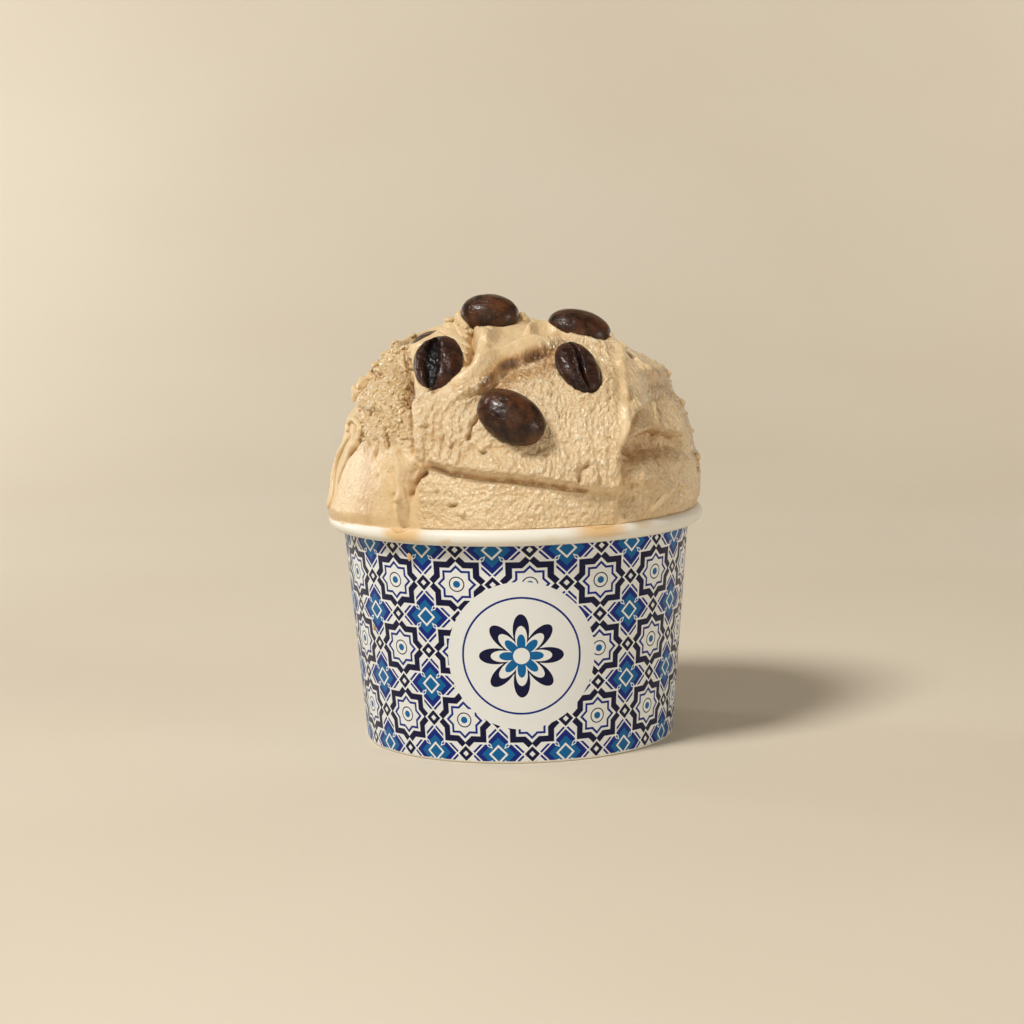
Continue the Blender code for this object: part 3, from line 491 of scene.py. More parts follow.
# ==== material helpers ========================================================
class Look:
    """A material under construction."""

    def __init__(self, name):
        self.material = bpy.data.materials.new(name)
        self.material.use_nodes = True
        self.tree = self.material.node_tree
        self.shader = self.tree.nodes["Principled BSDF"]

    def node(self, kind, inputs=None, **settings):
        item = self.tree.nodes.new(kind)
        for key, value in settings.items():
            setattr(item, key, value)
        for key, value in (inputs or {}).items():
            self.feed(item.inputs[key], value)
        return item

    def feed(self, socket, value):
        if isinstance(value, bpy.types.NodeSocket):
            self.tree.links.new(value, socket)
        else:
            socket.default_value = value

    def math(self, operation, *values):
        item = self.node("ShaderNodeMath", operation=operation)
        for socket, value in zip(item.inputs, values):
            self.feed(socket, value)
        return item.outputs[0]

    def blend(self, share, first, second):
        """Colour mix."""
        item = self.node("ShaderNodeMix", data_type="RGBA")
        self.feed(item.inputs["Factor"], share)
        for name, value in (("A", first), ("B", second)):
            socket = [s for s in item.inputs if s.name == name and s.type == "RGBA"][0]
            self.feed(socket, value)
        return [s for s in item.outputs if s.type == "RGBA"][0]

    def noise(self, scale, detail=2.0, rough=0.5, vector=None, stretch=None):
        """Noise in metres of the row frame: scale is waves per metre."""
        source = vector or self.coordinates()
        if stretch:
            source = self.node("ShaderNodeMapping", {"Vector": source, "Scale": stretch}).outputs[0]
        item = self.node("ShaderNodeTexNoise", {"Vector": source, "Scale": scale,
                                                "Detail": detail, "Roughness": rough})
        return item.outputs["Fac"]

    def spots(self, scale, vector=None, feature="F1", randomness=1.0):
        item = self.node("ShaderNodeTexVoronoi", {"Vector": vector or self.coordinates(),
                                                  "Scale": scale, "Randomness": randomness})
        item.feature = feature
        return item.outputs["Distance"]

    def coordinates(self):
        return self.node("ShaderNodeTexCoord").outputs["Object"]

    def attribute(self, name):
        return self.node("ShaderNodeAttribute", attribute_name=name).outputs["Fac"]

    def ramp(self, value, low, high):
        """0 at low, 1 at high, smooth between."""
        item = self.node("ShaderNodeMapRange", {"Value": value, "From Min": low, "From Max": high})
        item.interpolation_type = "SMOOTHSTEP"
        return item.outputs[0]

    def bump(self, height, distance, strength=1.0, normal=None):
        item = self.node("ShaderNodeBump", {"Height": height, "Distance": distance,
                                            "Strength": strength})
        if normal:
            self.feed(item.inputs["Normal"], normal)
        return item.outputs[0]

    def set(self, **values):
        for key, value in values.items():
            self.feed(self.shader.inputs[key.replace("_", " ")], value)
        return self


def rgb(red, green, blue):
    """Linear colour from 8-bit display values."""
    def linear(value):
        share = value / 255.0
        return share / 12.92 if share <= 0.04045 else ((share + 0.055) / 1.055) ** 2.4
    return (linear(red), linear(green), linear(blue), 1.0)


# ==== gelato =================================================================
def arc_strokes():
    """Curved lines that start upright at the panel's left edge and bend to the right."""
    strokes = []
    for height, width, start, rise in ARCS:
        for x, push, half in ((start, height, width), (start + ARC_GAP, -ARC_GROOVE * height, 0.8 * width)):
            line = ((x, 59.4), (x - 0.1, 62.8 + rise), (x + 0.5, 66.0 + rise),
                    (x + 2.2, 68.9 + rise * 0.8), (x + 5.4, 71.0 + rise * 0.5))
            strokes.append((FRONT, push, half, 0.0, line))
    return strokes


def mound_level(x, y):
    ring = math.hypot(x / MOUND_SIDE, y / MOUND_FRONT) ** MOUND_POWER
    return MOUND_CENTRE_Z + MOUND_HEIGHT * max(1.0 - ring, 0.0) ** (1.0 / MOUND_POWER)


def mound_depth(x, z):
    across = MOUND_SIDE + (MOUND_LEFT_EXTRA if x < 0 else 0.0)
    level = 1.0 - (max(z - MOUND_CENTRE_Z, 0.0) / MOUND_HEIGHT) ** MOUND_POWER
    ring = max(level, 0.0) ** (1.0 / MOUND_POWER)
    return math.sqrt(max(ring ** 2 - (x / across) ** 2, 0.0))


def soften(points):
    """Smooth curve through the given points, four steps between each two."""
    ends = np.array([points[0], *points, points[-1]], float)
    curve = []
    for first, start, stop, last in zip(ends, ends[1:], ends[2:], ends[3:]):
        for t in np.arange(4) / 4.0:
            curve.append(0.5 * (2.0 * start + (stop - first) * t
                                + (2.0 * first - 5.0 * start + 4.0 * stop - last) * t ** 2
                                + (3.0 * start - first - 3.0 * stop + last) * t ** 3))
    curve.append(ends[-1])
    return np.array(curve)


def mound_line(side, points):
    """A drawn line laid on the plain mound."""
    line = soften(points)
    if side == TOP:
        return np.array([(x, y, mound_level(x, y)) for x, y in line])
    depth = MOUND_FRONT if side == FRONT else MOUND_BACK
    return np.array([(x, side * depth * mound_depth(x, z), z) for x, z in line])


def near_line(points, line, reach):
    """Numbers of the points within reach of a line's box."""
    low = line.min(axis=0) - reach
    high = line.max(axis=0) + reach
    return np.flatnonzero(np.all((points > low) & (points < high), axis=1))


def measure_line(points, normals, line):
    """For each point: distance to the line, signed side distance, share along, way past its ends."""
    spans = np.linalg.norm(np.diff(line, axis=0), axis=1)
    starts = np.concatenate(((0.0,), np.cumsum(spans)))
    best = np.full(len(points), 1e9)
    side = np.zeros(len(points))
    share = np.zeros(len(points))
    past = np.zeros(len(points))
    left = np.zeros_like(points)
    for index, span in enumerate(spans):
        if span < 1e-6:
            continue
        along = (line[index + 1] - line[index]) / span
        reach = (points - line[index]) @ along
        held = np.clip(reach, 0.0, span)
        gap = points - line[index] - held[:, None] * along
        far = np.linalg.norm(gap, axis=1)
        raised = np.cross(normals, along)
        closer = far < best
        best = np.where(closer, far, best)
        side = np.where(closer, np.einsum("ij,ij->i", gap, raised), side)
        share = np.where(closer, (starts[index] + held) / starts[-1], share)
        past = np.where(closer, np.abs(reach - held), past)
        left = np.where(closer[:, None], raised, left)
    return best, side, share, past, left


def paint_shade_lines(marked, normals, painted_shade_and_melt):
    """Painted shade: browner gelato along drawn lines, for the shade in hollows and under folds."""
    for side, strength, width, drawn in PAINTED_SHADE_LINES:
        line = mound_line(side, drawn)
        near = near_line(marked, line, 2.2 * width)
        far = measure_line(marked[near], normals[near], line)[0]
        uneven = 1.0 + 0.5 * grain(marked[near], 0.45, 29)
        painted_shade_and_melt[near] = np.maximum(painted_shade_and_melt[near], strength * np.exp(-(far / width) ** 2) * uneven)


def add_strokes(marked, normals, strokes, shift, painted_shade_and_melt):
    """Ridges and grooves of bell section; lean makes a ridge droop.  Narrow grooves get painted shade."""
    for side, height, width, lean, drawn in strokes:
        line = mound_line(side, drawn)
        near = near_line(marked, line, 3.0 * width)
        far = measure_line(marked[near], normals[near], line)[0]
        uneven = 1.0 + 0.45 * grain(marked[near], 0.22, 27)
        bell = np.exp(-(far / width) ** 2) * uneven
        shift[near] += normals[near] * bell[:, None] * height
        shift[near, 2] -= bell * lean
        # painted shade in narrow grooves
        if height < 0.0 and width < NARROW:
            painted_shade_and_melt[near] = np.maximum(painted_shade_and_melt[near], bell ** 1.5 * min(-height / 1.8, 1.0))


def add_ledges(marked, normals, ledges, shift):
    """Folds with a steep face: the left-hand side of the line stands proud of the right-hand side."""
    for side, raised, sunk, face, high_run, low_run, lean, drawn in ledges:
        line = mound_line(side, drawn)
        near = near_line(marked, line, 2.5 * max(high_run, low_run) + face)
        _, across, share, past, left = measure_line(marked[near], normals[near], line)
        cliff = ease((across + face) / face)
        high = raised * np.exp(-(np.maximum(across, 0.0) / high_run) ** 2)
        low = -sunk * np.exp(np.minimum(across + face, 0.0) / low_run)
        ends = ease(share / 0.14) * ease((1.0 - share) / 0.14) * np.exp(-(past / 1.5) ** 2)
        uneven = 1.0 + 0.45 * grain(marked[near], 0.20, 28)
        height = (low + (high - low) * cliff) * ends * uneven
        curl = lean * np.exp(-((across - 0.2 * face) / (0.9 * face)) ** 2) * ends
        shift[near] += normals[near] * height[:, None] - left * curl[:, None]


def plan_push(points):
    """How far the worked faces of the mound stand from its plain round form, seen from the front."""
    x, y, z = points.T
    levels = [level for level, _ in FACES]
    rows = np.array([np.interp(x, [px for px, _ in face], [push for _, push in face]) for _, face in FACES])
    place = np.interp(z, levels, np.arange(len(levels)))
    low = np.clip(np.floor(place).astype(int), 0, len(levels) - 2)
    part = ease(place - low)
    index = np.arange(len(points))
    push = rows[low, index] * (1.0 - part) + rows[low + 1, index] * part
    push *= ease(-y / 10.0) * ease((81.0 - z) / 8.0)
    around = np.hypot(x, y) + 1e-6
    left = ease((-x / around - 0.66) / 0.26)
    right = ease((x / around - 0.66) / 0.26)
    push += left * np.interp(z, *zip(*LEFT_SIDE)) + right * np.interp(z, *zip(*RIGHT_SIDE))
    return push


def press_beans(points, shift, normals):
    """Gelato gives way under each bean, swells a little round it and never covers its open face."""
    for _, _, centre, along, out, length, width, thickness, bare, *_ in BEANS:
        turn, middle = bean_frame(centre, along, out)
        local = (points + shift - middle) @ turn
        size = np.array((length, width, thickness)) / 2.0
        reach = np.linalg.norm(local / size, axis=1)
        gap = (reach - 1.0) * size[1]
        swell = 0.40 * np.exp(-((gap - 0.5) / 0.8) ** 2) * (gap > -0.6)
        give = -1.1 * ease((1.0 - reach) / 0.35)
        shift += normals * (swell + give)[:, None]
        ring = np.linalg.norm(local[:, :2] / size[:2], axis=1)
        sunk = 1.5 * ease((0.97 - ring) / 0.2)
        over = local[:, 2] + swell + give - bare + sunk - 2.4 * np.maximum(ring - 1.0, 0.0) * size[1]
        near = ease((1.9 - ring) / 0.6) * (local[:, 2] < 9.0)
        shift -= turn[:, 2] * (np.maximum(over, 0.0) * near)[:, None]


def mound_zones(points):
    """Shares of each point that belong to differently worked areas."""
    x, y, z = points.T
    front = ease(-y / 8.0)
    line_x, line_z = zip(*STEP_LINE)
    below = np.interp(x, line_x, line_z) - z
    across = ease((x + 19.0) / 1.2) * ease((19.6 - x) / 1.6) * front
    fold_line = np.interp(x, (-11.0, 0.0, 6.0, 12.0), (72.0, 77.5, 79.5, 81.0))
    panel = across * ease((-below + 0.6) / 1.2) * ease((fold_line + 0.9 - z) / 1.5)
    band = across * ease((below - 0.2) / 1.0)
    left = ease((-18.9 - x) / 1.2) * ease((8.0 - y) / 16.0)
    crumbly = left * ease((z - 59.0) / 4.5) * ease((84.0 - z) / 3.0) * ease((x + 34.5) / 4.0)
    right = ease((x - 20.0) / 2.0) * ease((16.0 - y) / 12.0)
    back = ease((y - 4.0) / 8.0)
    torn = 0.55 * back * ease((grain(points, 0.06, 5) - 0.02) / 0.12)
    smooth = ease((z - fold_line) / 1.5) * ease((x + 13.0) / 2.0) * ease((17.0 - x) / 3.0) * front
    return {"panel": panel, "band": band, "crumbly": np.maximum(crumbly, torn), "smooth": smooth,
            "left": left, "right": right, "back": back}


def mound_directions():
    """Angles of the columns round the cup, close together across the front."""
    front = MIDDLE - math.pi / 2 + math.pi * np.arange(FRONT_COLUMNS) / FRONT_COLUMNS
    back = math.pi * np.arange(BACK_COLUMNS) / BACK_COLUMNS
    return np.concatenate((front, back))


def mound_shell(angles):
    """Points and outward normals of the plain mound, evenly spaced up its section."""
    fine = np.linspace(math.radians(FIRST_ANGLE), math.radians(89.2), 3000)
    scale = (np.cos(fine) ** MOUND_POWER + np.sin(fine) ** MOUND_POWER) ** (-1.0 / MOUND_POWER)
    section = np.stack((np.cos(fine) * scale, np.sin(fine) * scale), axis=1)
    lengths = np.concatenate(((0.0,), np.cumsum(np.linalg.norm(np.diff(section, axis=0), axis=1))))
    even = np.linspace(0.0, 1.0, MOUND_ROWS) ** 1.06 * lengths[-1]
    ring = np.interp(even, lengths, section[:, 0])
    rise = np.interp(even, lengths, section[:, 1])
    side = MOUND_SIDE + MOUND_LEFT_EXTRA * (np.cos(angles) < 0)
    depth = np.where(np.sin(angles) < 0, MOUND_FRONT, MOUND_BACK)
    x = ring[:, None] * (side * np.cos(angles))[None, :]
    y = ring[:, None] * (depth * np.sin(angles))[None, :]
    z = np.repeat((MOUND_CENTRE_Z + MOUND_HEIGHT * rise)[:, None], len(angles), axis=1)
    points = np.stack((x, y, z), axis=2).reshape(-1, 3)
    outward = points - np.array((0.0, 0.0, MOUND_CENTRE_Z))
    reach = np.array((MOUND_SIDE, MOUND_FRONT, MOUND_HEIGHT))
    slope = np.sign(outward) * (np.abs(outward) / reach) ** (MOUND_POWER - 1.0) / reach
    return points, slope / np.linalg.norm(slope, axis=1)[:, None]


def grid_normals(points, columns):
    """Normals of a grid that closes round on itself."""
    grid = points.reshape(-1, columns, 3)
    across = np.roll(grid, -1, axis=1) - np.roll(grid, 1, axis=1)
    up = np.gradient(grid, axis=0)
    normals = np.cross(across, up).reshape(-1, 3)
    return normals / np.maximum(np.linalg.norm(normals, axis=1), 1e-9)[:, None]


def shape_mound(points, normals, columns):
    """Plain mound to folded, wiped and torn gelato; also how much painted shade each point gets in grooves, hollows and
    under folds.
    """
    wobble = np.stack([grain(points, 0.16, seed) for seed in (21, 22, 23)], axis=1) * 0.8
    wobble += np.stack([grain(points, 0.5, seed) for seed in (24, 25, 26)], axis=1) * 0.4
    marked = points + wobble
    lift = 0.7 * grain(points, 0.085, 1) + 0.4 * grain(points, 0.21, 2) + plan_push(points)
    shift = normals * lift[:, None]
    nearly = points + 0.45 * wobble
    # painted shade gathered from narrow grooves and the shade lines
    painted_shade_and_melt = np.zeros(len(points))
    add_strokes(marked, normals, STROKES, shift, painted_shade_and_melt)
    add_ledges(0.4 * marked + 0.6 * nearly, normals, LEDGES, shift)
    add_strokes(nearly, normals, FINE_STROKES, shift, painted_shade_and_melt)
    add_ledges(nearly, normals, FINE_LEDGES, shift)
    add_strokes(marked, normals, arc_strokes(), shift, painted_shade_and_melt)
    # painted shade along the drawn shade lines
    paint_shade_lines(0.4 * marked + 0.6 * nearly, normals, painted_shade_and_melt)
    press_beans(points, shift, normals)
    hold = ease((points[:, 2] - 46.3) / 2.2)
    moved = points + shift * hold[:, None]
    right_end = ease((points[:, 0] / (np.hypot(points[:, 0], points[:, 1]) + 1e-6) - 0.55) / 0.3)
    moved[:, 0] -= RIGHT_TUCK * right_end * ease((51.5 - points[:, 2]) / 5.0)
    zones = mound_zones(points)
    zones["painted_shade_and_melt"] = painted_shade_and_melt
    fine = fine_relief(points, zones) * ease((points[:, 2] - 46.3) / 1.2)
    moved += grid_normals(moved, columns) * fine[:, None]
    return moved, zones, fine


def fine_relief(points, zones):
    """Small relief in mm: scaly on the panel, crumbly at the left, calm elsewhere."""
    lean = 0.45 * grain(points, 0.05, 30)
    turned = points.copy()
    turned[:, 0] = points[:, 0] + (lean - 0.25) * points[:, 2]
    round_grains = 0.55 - cells(turned, (1.15, 1.0, 0.85), 47)[0]
    scaly = 1.2 * round_grains + 1.1 * grain(turned, (0.95, 0.8, 0.45), 31) + 0.4 * grain(turned, 1.6, 32)
    scaly = scaly - 0.5 * np.abs(grain(turned, (0.6, 0.6, 0.35), 46))
    ripple = 1.2 * grain(points, (0.6, 0.8, 1.1), 41) + 0.5 * grain(points, 1.6, 42) + 0.9 * round_grains
    upright = grain(points, (1.5, 1.5, 0.35), 43)
    soft = grain(points, 0.45, 33) + 0.5 * grain(points, 0.95, 34)
    near, second = cells(points, 0.95, 35)
    lumps = np.sqrt(np.clip((second - near) / 0.5, 0.0, 1.0)) - 0.6
    near_small, second_small = cells(points, 1.7, 36)
    small = np.sqrt(np.clip((second_small - near_small) / 0.5, 0.0, 1.0)) - 0.6
    crumbs = 0.8 * lumps + 0.5 * small + 0.9 * grain(points, 0.42, 37)
    rough = ease((grain(points, 0.12, 39) + 0.25) / 0.4)
    relief = 0.12 * soft
    relief += zones["panel"] * (0.31 + 0.18 * rough) * scaly
    relief += zones["band"] * 0.30 * ripple
    relief += zones["crumbly"] * 0.62 * crumbs
    relief += zones["right"] * (0.22 * upright + 0.14 * round_grains + 0.36 * crumbs * rough)
    relief += zones["back"] * (0.12 * scaly * rough + 0.12 * crumbs * rough)
    return relief * (1.0 - 0.6 * zones["smooth"])


def melt_angles(angles):
    """For each column: how far round the rolled rim the body and the melted film reach, in degrees."""
    reach = np.hypot(MOUND_SIDE * np.cos(angles), np.where(np.sin(angles) < 0, MOUND_FRONT, MOUND_BACK)
                     * np.sin(angles))
    share = np.clip((reach - ROLL_CENTRE[0] + 0.2) / ROLL_RADIUS, -0.3, 0.94)
    tucked = 1.0 - 0.82 * ease((np.cos(angles) - 0.45) / 0.35)
    share = np.where(share > 0, share * tucked, share)
    places = np.stack((np.cos(angles), np.sin(angles), np.zeros(len(angles))), axis=1) * RIM_RADIUS
    body = np.degrees(np.arccos(share)) - 9.0 * grain(places, 0.16, 61) - 6.0 * grain(places, 0.5, 62)
    film = body.copy()
    for middle, width, hang in MELTS:
        turn = (angles - middle + math.pi) % math.tau - math.pi
        film -= hang * np.exp(-np.abs(turn * RIM_RADIUS / width) ** 2.6)
    film -= 3.0 * grain(places, 0.6, 63)
    return body, np.minimum(film, body - 3.0)


def roll_ring(angles, degrees, offset):
    """Points at given angles round the rolled rim, standing off it by a distance."""
    turn = np.radians(degrees) * np.ones(len(angles))
    radius = ROLL_CENTRE[0] + (ROLL_RADIUS + offset) * np.cos(turn)
    height = ROLL_CENTRE[1] + (ROLL_RADIUS + offset) * np.sin(turn)
    return np.stack((radius * np.cos(angles), radius * np.sin(angles), height), axis=1)


def packed_rows(angles):
    """Gelato under the mound: a shallow plug in the cup, over the rolled rim, and the melted film on it."""
    inner = ROLL_CENTRE[0] - ROLL_RADIUS
    rows = []
    for radius, height in ((inner - 4.0, 36.0), (inner - 1.2, 38.0), (inner - 0.25, 43.4)):
        rows.append(np.stack((radius * np.cos(angles), radius * np.sin(angles),
                              np.full(len(angles), height)), axis=1))
    body, film = melt_angles(angles)
    for share in (0.0, 0.5, 1.0):
        rows.append(roll_ring(angles, 170.0 + (film - 170.0) * share, -0.12))
    thick = 0.04 + 0.09 * ease((body - film) / 60.0)
    for step in range(1, FILM_ROWS + 1):
        share = step / FILM_ROWS
        bulge = thick * (1.0 - (1.0 - share) ** 4) * (1.0 + 0.35 * (1.0 - share))
        rows.append(roll_ring(angles, film + (body - film) * share, bulge))
    return rows


def build_gelato():
    angles = mound_directions()
    columns = len(angles)
    points, normals = mound_shell(angles)
    points, zones, fine = shape_mound(points, normals, columns)
    rows = packed_rows(angles)
    grid = points.reshape(-1, columns, 3)
    step = rows[-1] - grid[0]
    for index in range(JOIN_ROWS):
        grid[index] += step * (1.0 - (index + 1) / (JOIN_ROWS + 1)) ** 2
    below = sum(len(row) for row in rows)
    melted = np.concatenate([np.ones(below - FILM_ROWS * columns)] + [
        np.full(columns, 1.0 - 0.75 * (k + 1) / FILM_ROWS) for k in range(FILM_ROWS)])
    rows += list(grid)
    top = rows[-1].mean(axis=0)
    mesh = mesh_from_rows("gelato_mound", rows, True, (0.0, 0.0, 36.0), top)

    def spread(values, start=None):
        first = np.zeros(below) if start is None else start
        return np.concatenate((first, values, (0.0, 0.0)))
    fade = np.repeat(np.maximum(0.25 - 0.04 * np.arange(MOUND_ROWS), 0.0), columns)
    # painted shade in the lows of the small relief
    paint(mesh, "painted_cavity_shade", spread(np.clip(-fine * 2.6 - 0.05, 0.0, 1.0)))
    # painted glints on the crests of the small relief
    paint(mesh, "painted_glint", spread(np.clip(fine * 3.2 - 0.10, 0.0, 1.0)))
    paint(mesh, "crumbly", spread(zones["crumbly"]))
    worked = np.maximum(np.maximum(zones["panel"], 0.8 * zones["band"]), 0.8 * zones["right"])
    paint(mesh, "panel", spread(worked))
    # painted shade of grooves, hollows and folds, for the material
    paint(mesh, "painted_shade_and_melt", spread(zones["painted_shade_and_melt"]))
    paint(mesh, "melted", spread(fade, melted))
    look = gelato_look()
    place(mesh, look, "coffee_gelato", ("gelato",))
    build_bits(Surface(points, grid_normals(points, columns)), look)


class Surface:
    """Finished surface of the mound, found by where it is seen from the front."""

    def __init__(self, points, normals):
        seen = normals[:, 1] < 0.25
        self.points = points[seen]
        self.normals = normals[seen]

    def at(self, x, z):
        gap = (self.points[:, 0] - x) ** 2 + (self.points[:, 2] - z) ** 2
        best = int(np.argmin(gap + 0.002 * self.points[:, 1]))
        return self.points[best], self.normals[best]


def ball(detail):
    """Points and faces of a small sphere."""
    bm = bmesh.new()
    bmesh.ops.create_icosphere(bm, subdivisions=detail, radius=1.0)
    points = np.array([vertex.co[:] for vertex in bm.verts])
    faces = [tuple(vertex.index for vertex in face.verts) for face in bm.faces]
    bm.free()
    return points, faces


def lump_points(unit, centre, out, radius, flat, random):
    """An uneven lump, flattened along the outward direction."""
    uneven = 1.0 + 0.30 * grain(unit, 1.3, int(random.integers(500)))
    uneven += 0.16 * grain(unit, 3.0, int(random.integers(500)))
    shape = unit * uneven[:, None] * random.uniform(0.78, 1.22, 3)
    away = Vector(out).to_track_quat("Z", "Y") @ Vector((0.0, 0.0, 1.0))
    spin = np.array(Vector(away).to_track_quat("Z", "Y").to_matrix())
    turn = random.uniform(0.0, math.tau)
    flat_turn = np.array(Matrix.Rotation(turn, 3, "Z"))
    local = (shape @ flat_turn.T) * np.array((1.0, 1.0, flat)) * radius
    return local @ spin.T + centre


def surface_line(surface, lift, drawn):
    """A drawn line laid on the finished surface, with the outward directions along it."""
    found = [surface.at(x, z) for x, z in soften(drawn)]
    middle = np.array([point for point, _ in found])
    outward = np.array([normal for _, normal in found])
    for _ in range(3):
        middle[1:-1] = (middle[:-2] + 2.0 * middle[1:-1] + middle[2:]) / 4.0
        outward[1:-1] = (outward[:-2] + 2.0 * outward[1:-1] + outward[2:]) / 4.0
    outward /= np.linalg.norm(outward, axis=1)[:, None]
    return middle + outward * lift, outward


def roll_rows(middle, outward, radius, flat):
    """Rings of a thin uneven roll of gelato along a line."""
    along = np.gradient(middle, axis=0)
    along /= np.maximum(np.linalg.norm(along, axis=1), 1e-6)[:, None]
    side = np.cross(along, outward)
    side /= np.maximum(np.linalg.norm(side, axis=1), 1e-6)[:, None]
    out = np.cross(side, along)
    share = np.linspace(0.0, 1.0, len(middle))
    width = radius * (0.35 + 0.65 * np.sin(np.pi * np.clip(share, 0.08, 0.92)) ** 0.5)
    width *= 1.0 + 0.35 * grain(middle, 0.9, 90)
    turns = np.arange(14) * math.tau / 14
    rows = []
    for index in range(len(middle)):
        ring = (np.cos(turns)[:, None] * side[index] + np.sin(turns)[:, None] * flat * out[index]) * width[index]
        rows.append(middle[index] + ring * (1.0 + 0.15 * grain(middle[index] + ring, 1.6, 91))[:, None])
    return rows, middle[0] - along[0] * width[0] * 0.5, middle[-1] + along[-1] * width[-1] * 0.5


def build_bits(surface, look):
    """Lumps, crumbs, curled rims and drops of gelato, as one piece."""
    random = np.random.default_rng(CRUMB_SEED)
    points = []
    faces = []
    painted_shade_and_melt = []
    crumbly = []

    def add(new_points, new_faces, tint, coarse):
        start = sum(len(block) for block in points)
        points.append(new_points)
        faces.extend(tuple(index + start for index in face) for face in new_faces)
        painted_shade_and_melt.append(np.full(len(new_points), tint))
        crumbly.append(np.full(len(new_points), coarse))

    fine = ball(4)
    medium = ball(3)
    small = ball(2)
    for x, z, radius, flat, sunk in LUMPS:
        place_, out = surface.at(x, z)
        shape = fine if radius > 1.0 else medium
        add(lump_points(shape[0], place_ + out * radius * flat * (1.0 - 2.0 * sunk) * 0.5, out, radius, flat, random),
            shape[1], 0.0, 0.3)
    # the nub is painted darker, for the shade of the top bean beside it
    add(lump_points(fine[0], np.array(NUB[0]), (0.3, -0.9, 0.4), NUB[1], 0.8, random), fine[1], 0.30, 0.5)
    for count, x_low, x_high, z_low, z_high, r_low, r_high, sunk in CRUMBS:
        for _ in range(count):
            radius = random.uniform(r_low, r_high)
            place_, out = surface.at(random.uniform(x_low, x_high), random.uniform(z_low, z_high))
            flat = random.uniform(0.65, 0.95)
            add(lump_points(small[0], place_ + out * radius * flat * (1.0 - 2.0 * sunk), out, radius, flat, random),
                small[1], random.uniform(0.0, 0.12), 0.6)
    for radius, flat, lift, drawn in FLAKES:
        ring_faces, stack = roll_faces(*roll_rows(*surface_line(surface, lift, drawn), radius, flat))
        add(stack, ring_faces, 0.0, 0.0)
    # drops on the wall are browner, the colour of melted gelato
    for x, height, half_width, half_height in DROPS:
        slope = (ROLL_CENTRE[0] - FOOT_RADIUS) / ROLL_CENTRE[1]
        radius = FOOT_RADIUS + slope * height
        place_ = np.array((x, -math.sqrt(radius ** 2 - x ** 2), height))
        out = place_ / radius * np.array((1.0, 1.0, 0.0))
        drop = lump_points(medium[0], np.zeros(3), (0.0, 0.0, 1.0), 1.0, 1.0, random)
        across = np.cross((0.0, 0.0, 1.0), out)
        add(place_ + drop[:, :1] * across * half_width + drop[:, 1:2] * np.array((0.0, 0.0, half_height))
            + drop[:, 2:] * out * 0.22, medium[1], 0.45, 0.0)
    mesh = bpy.data.meshes.new("gelato_crumbs")
    mesh.from_pydata((np.concatenate(points) * MM).tolist(), [], faces)
    mesh.update()
    bm = bmesh.new()
    bm.from_mesh(mesh)
    bmesh.ops.recalc_face_normals(bm, faces=bm.faces)
    bm.to_mesh(mesh)
    bm.free()
    mesh.shade_smooth()
    # painted shade of the nub, and the melt colour of the drops
    paint(mesh, "painted_shade_and_melt", np.concatenate(painted_shade_and_melt))
    paint(mesh, "crumbly", np.concatenate(crumbly))
    place(mesh, look, "coffee_gelato", ())


def roll_faces(rows, first, last):
    """Faces round a row of rings with a point at each end, and all the points."""
    count = len(rows[0])
    faces = []
    for row in range(len(rows) - 1):
        for column in range(count):
            after = (column + 1) % count
            faces.append((row * count + column, row * count + after,
                          (row + 1) * count + after, (row + 1) * count + column))
    stack = np.concatenate((*rows, first[None, :], last[None, :]))
    top = (len(rows) - 1) * count
    for column in range(count):
        after = (column + 1) % count
        faces.append((after, column, len(stack) - 2))
        faces.append((top + column, top + after, len(stack) - 1))
    return faces, stack


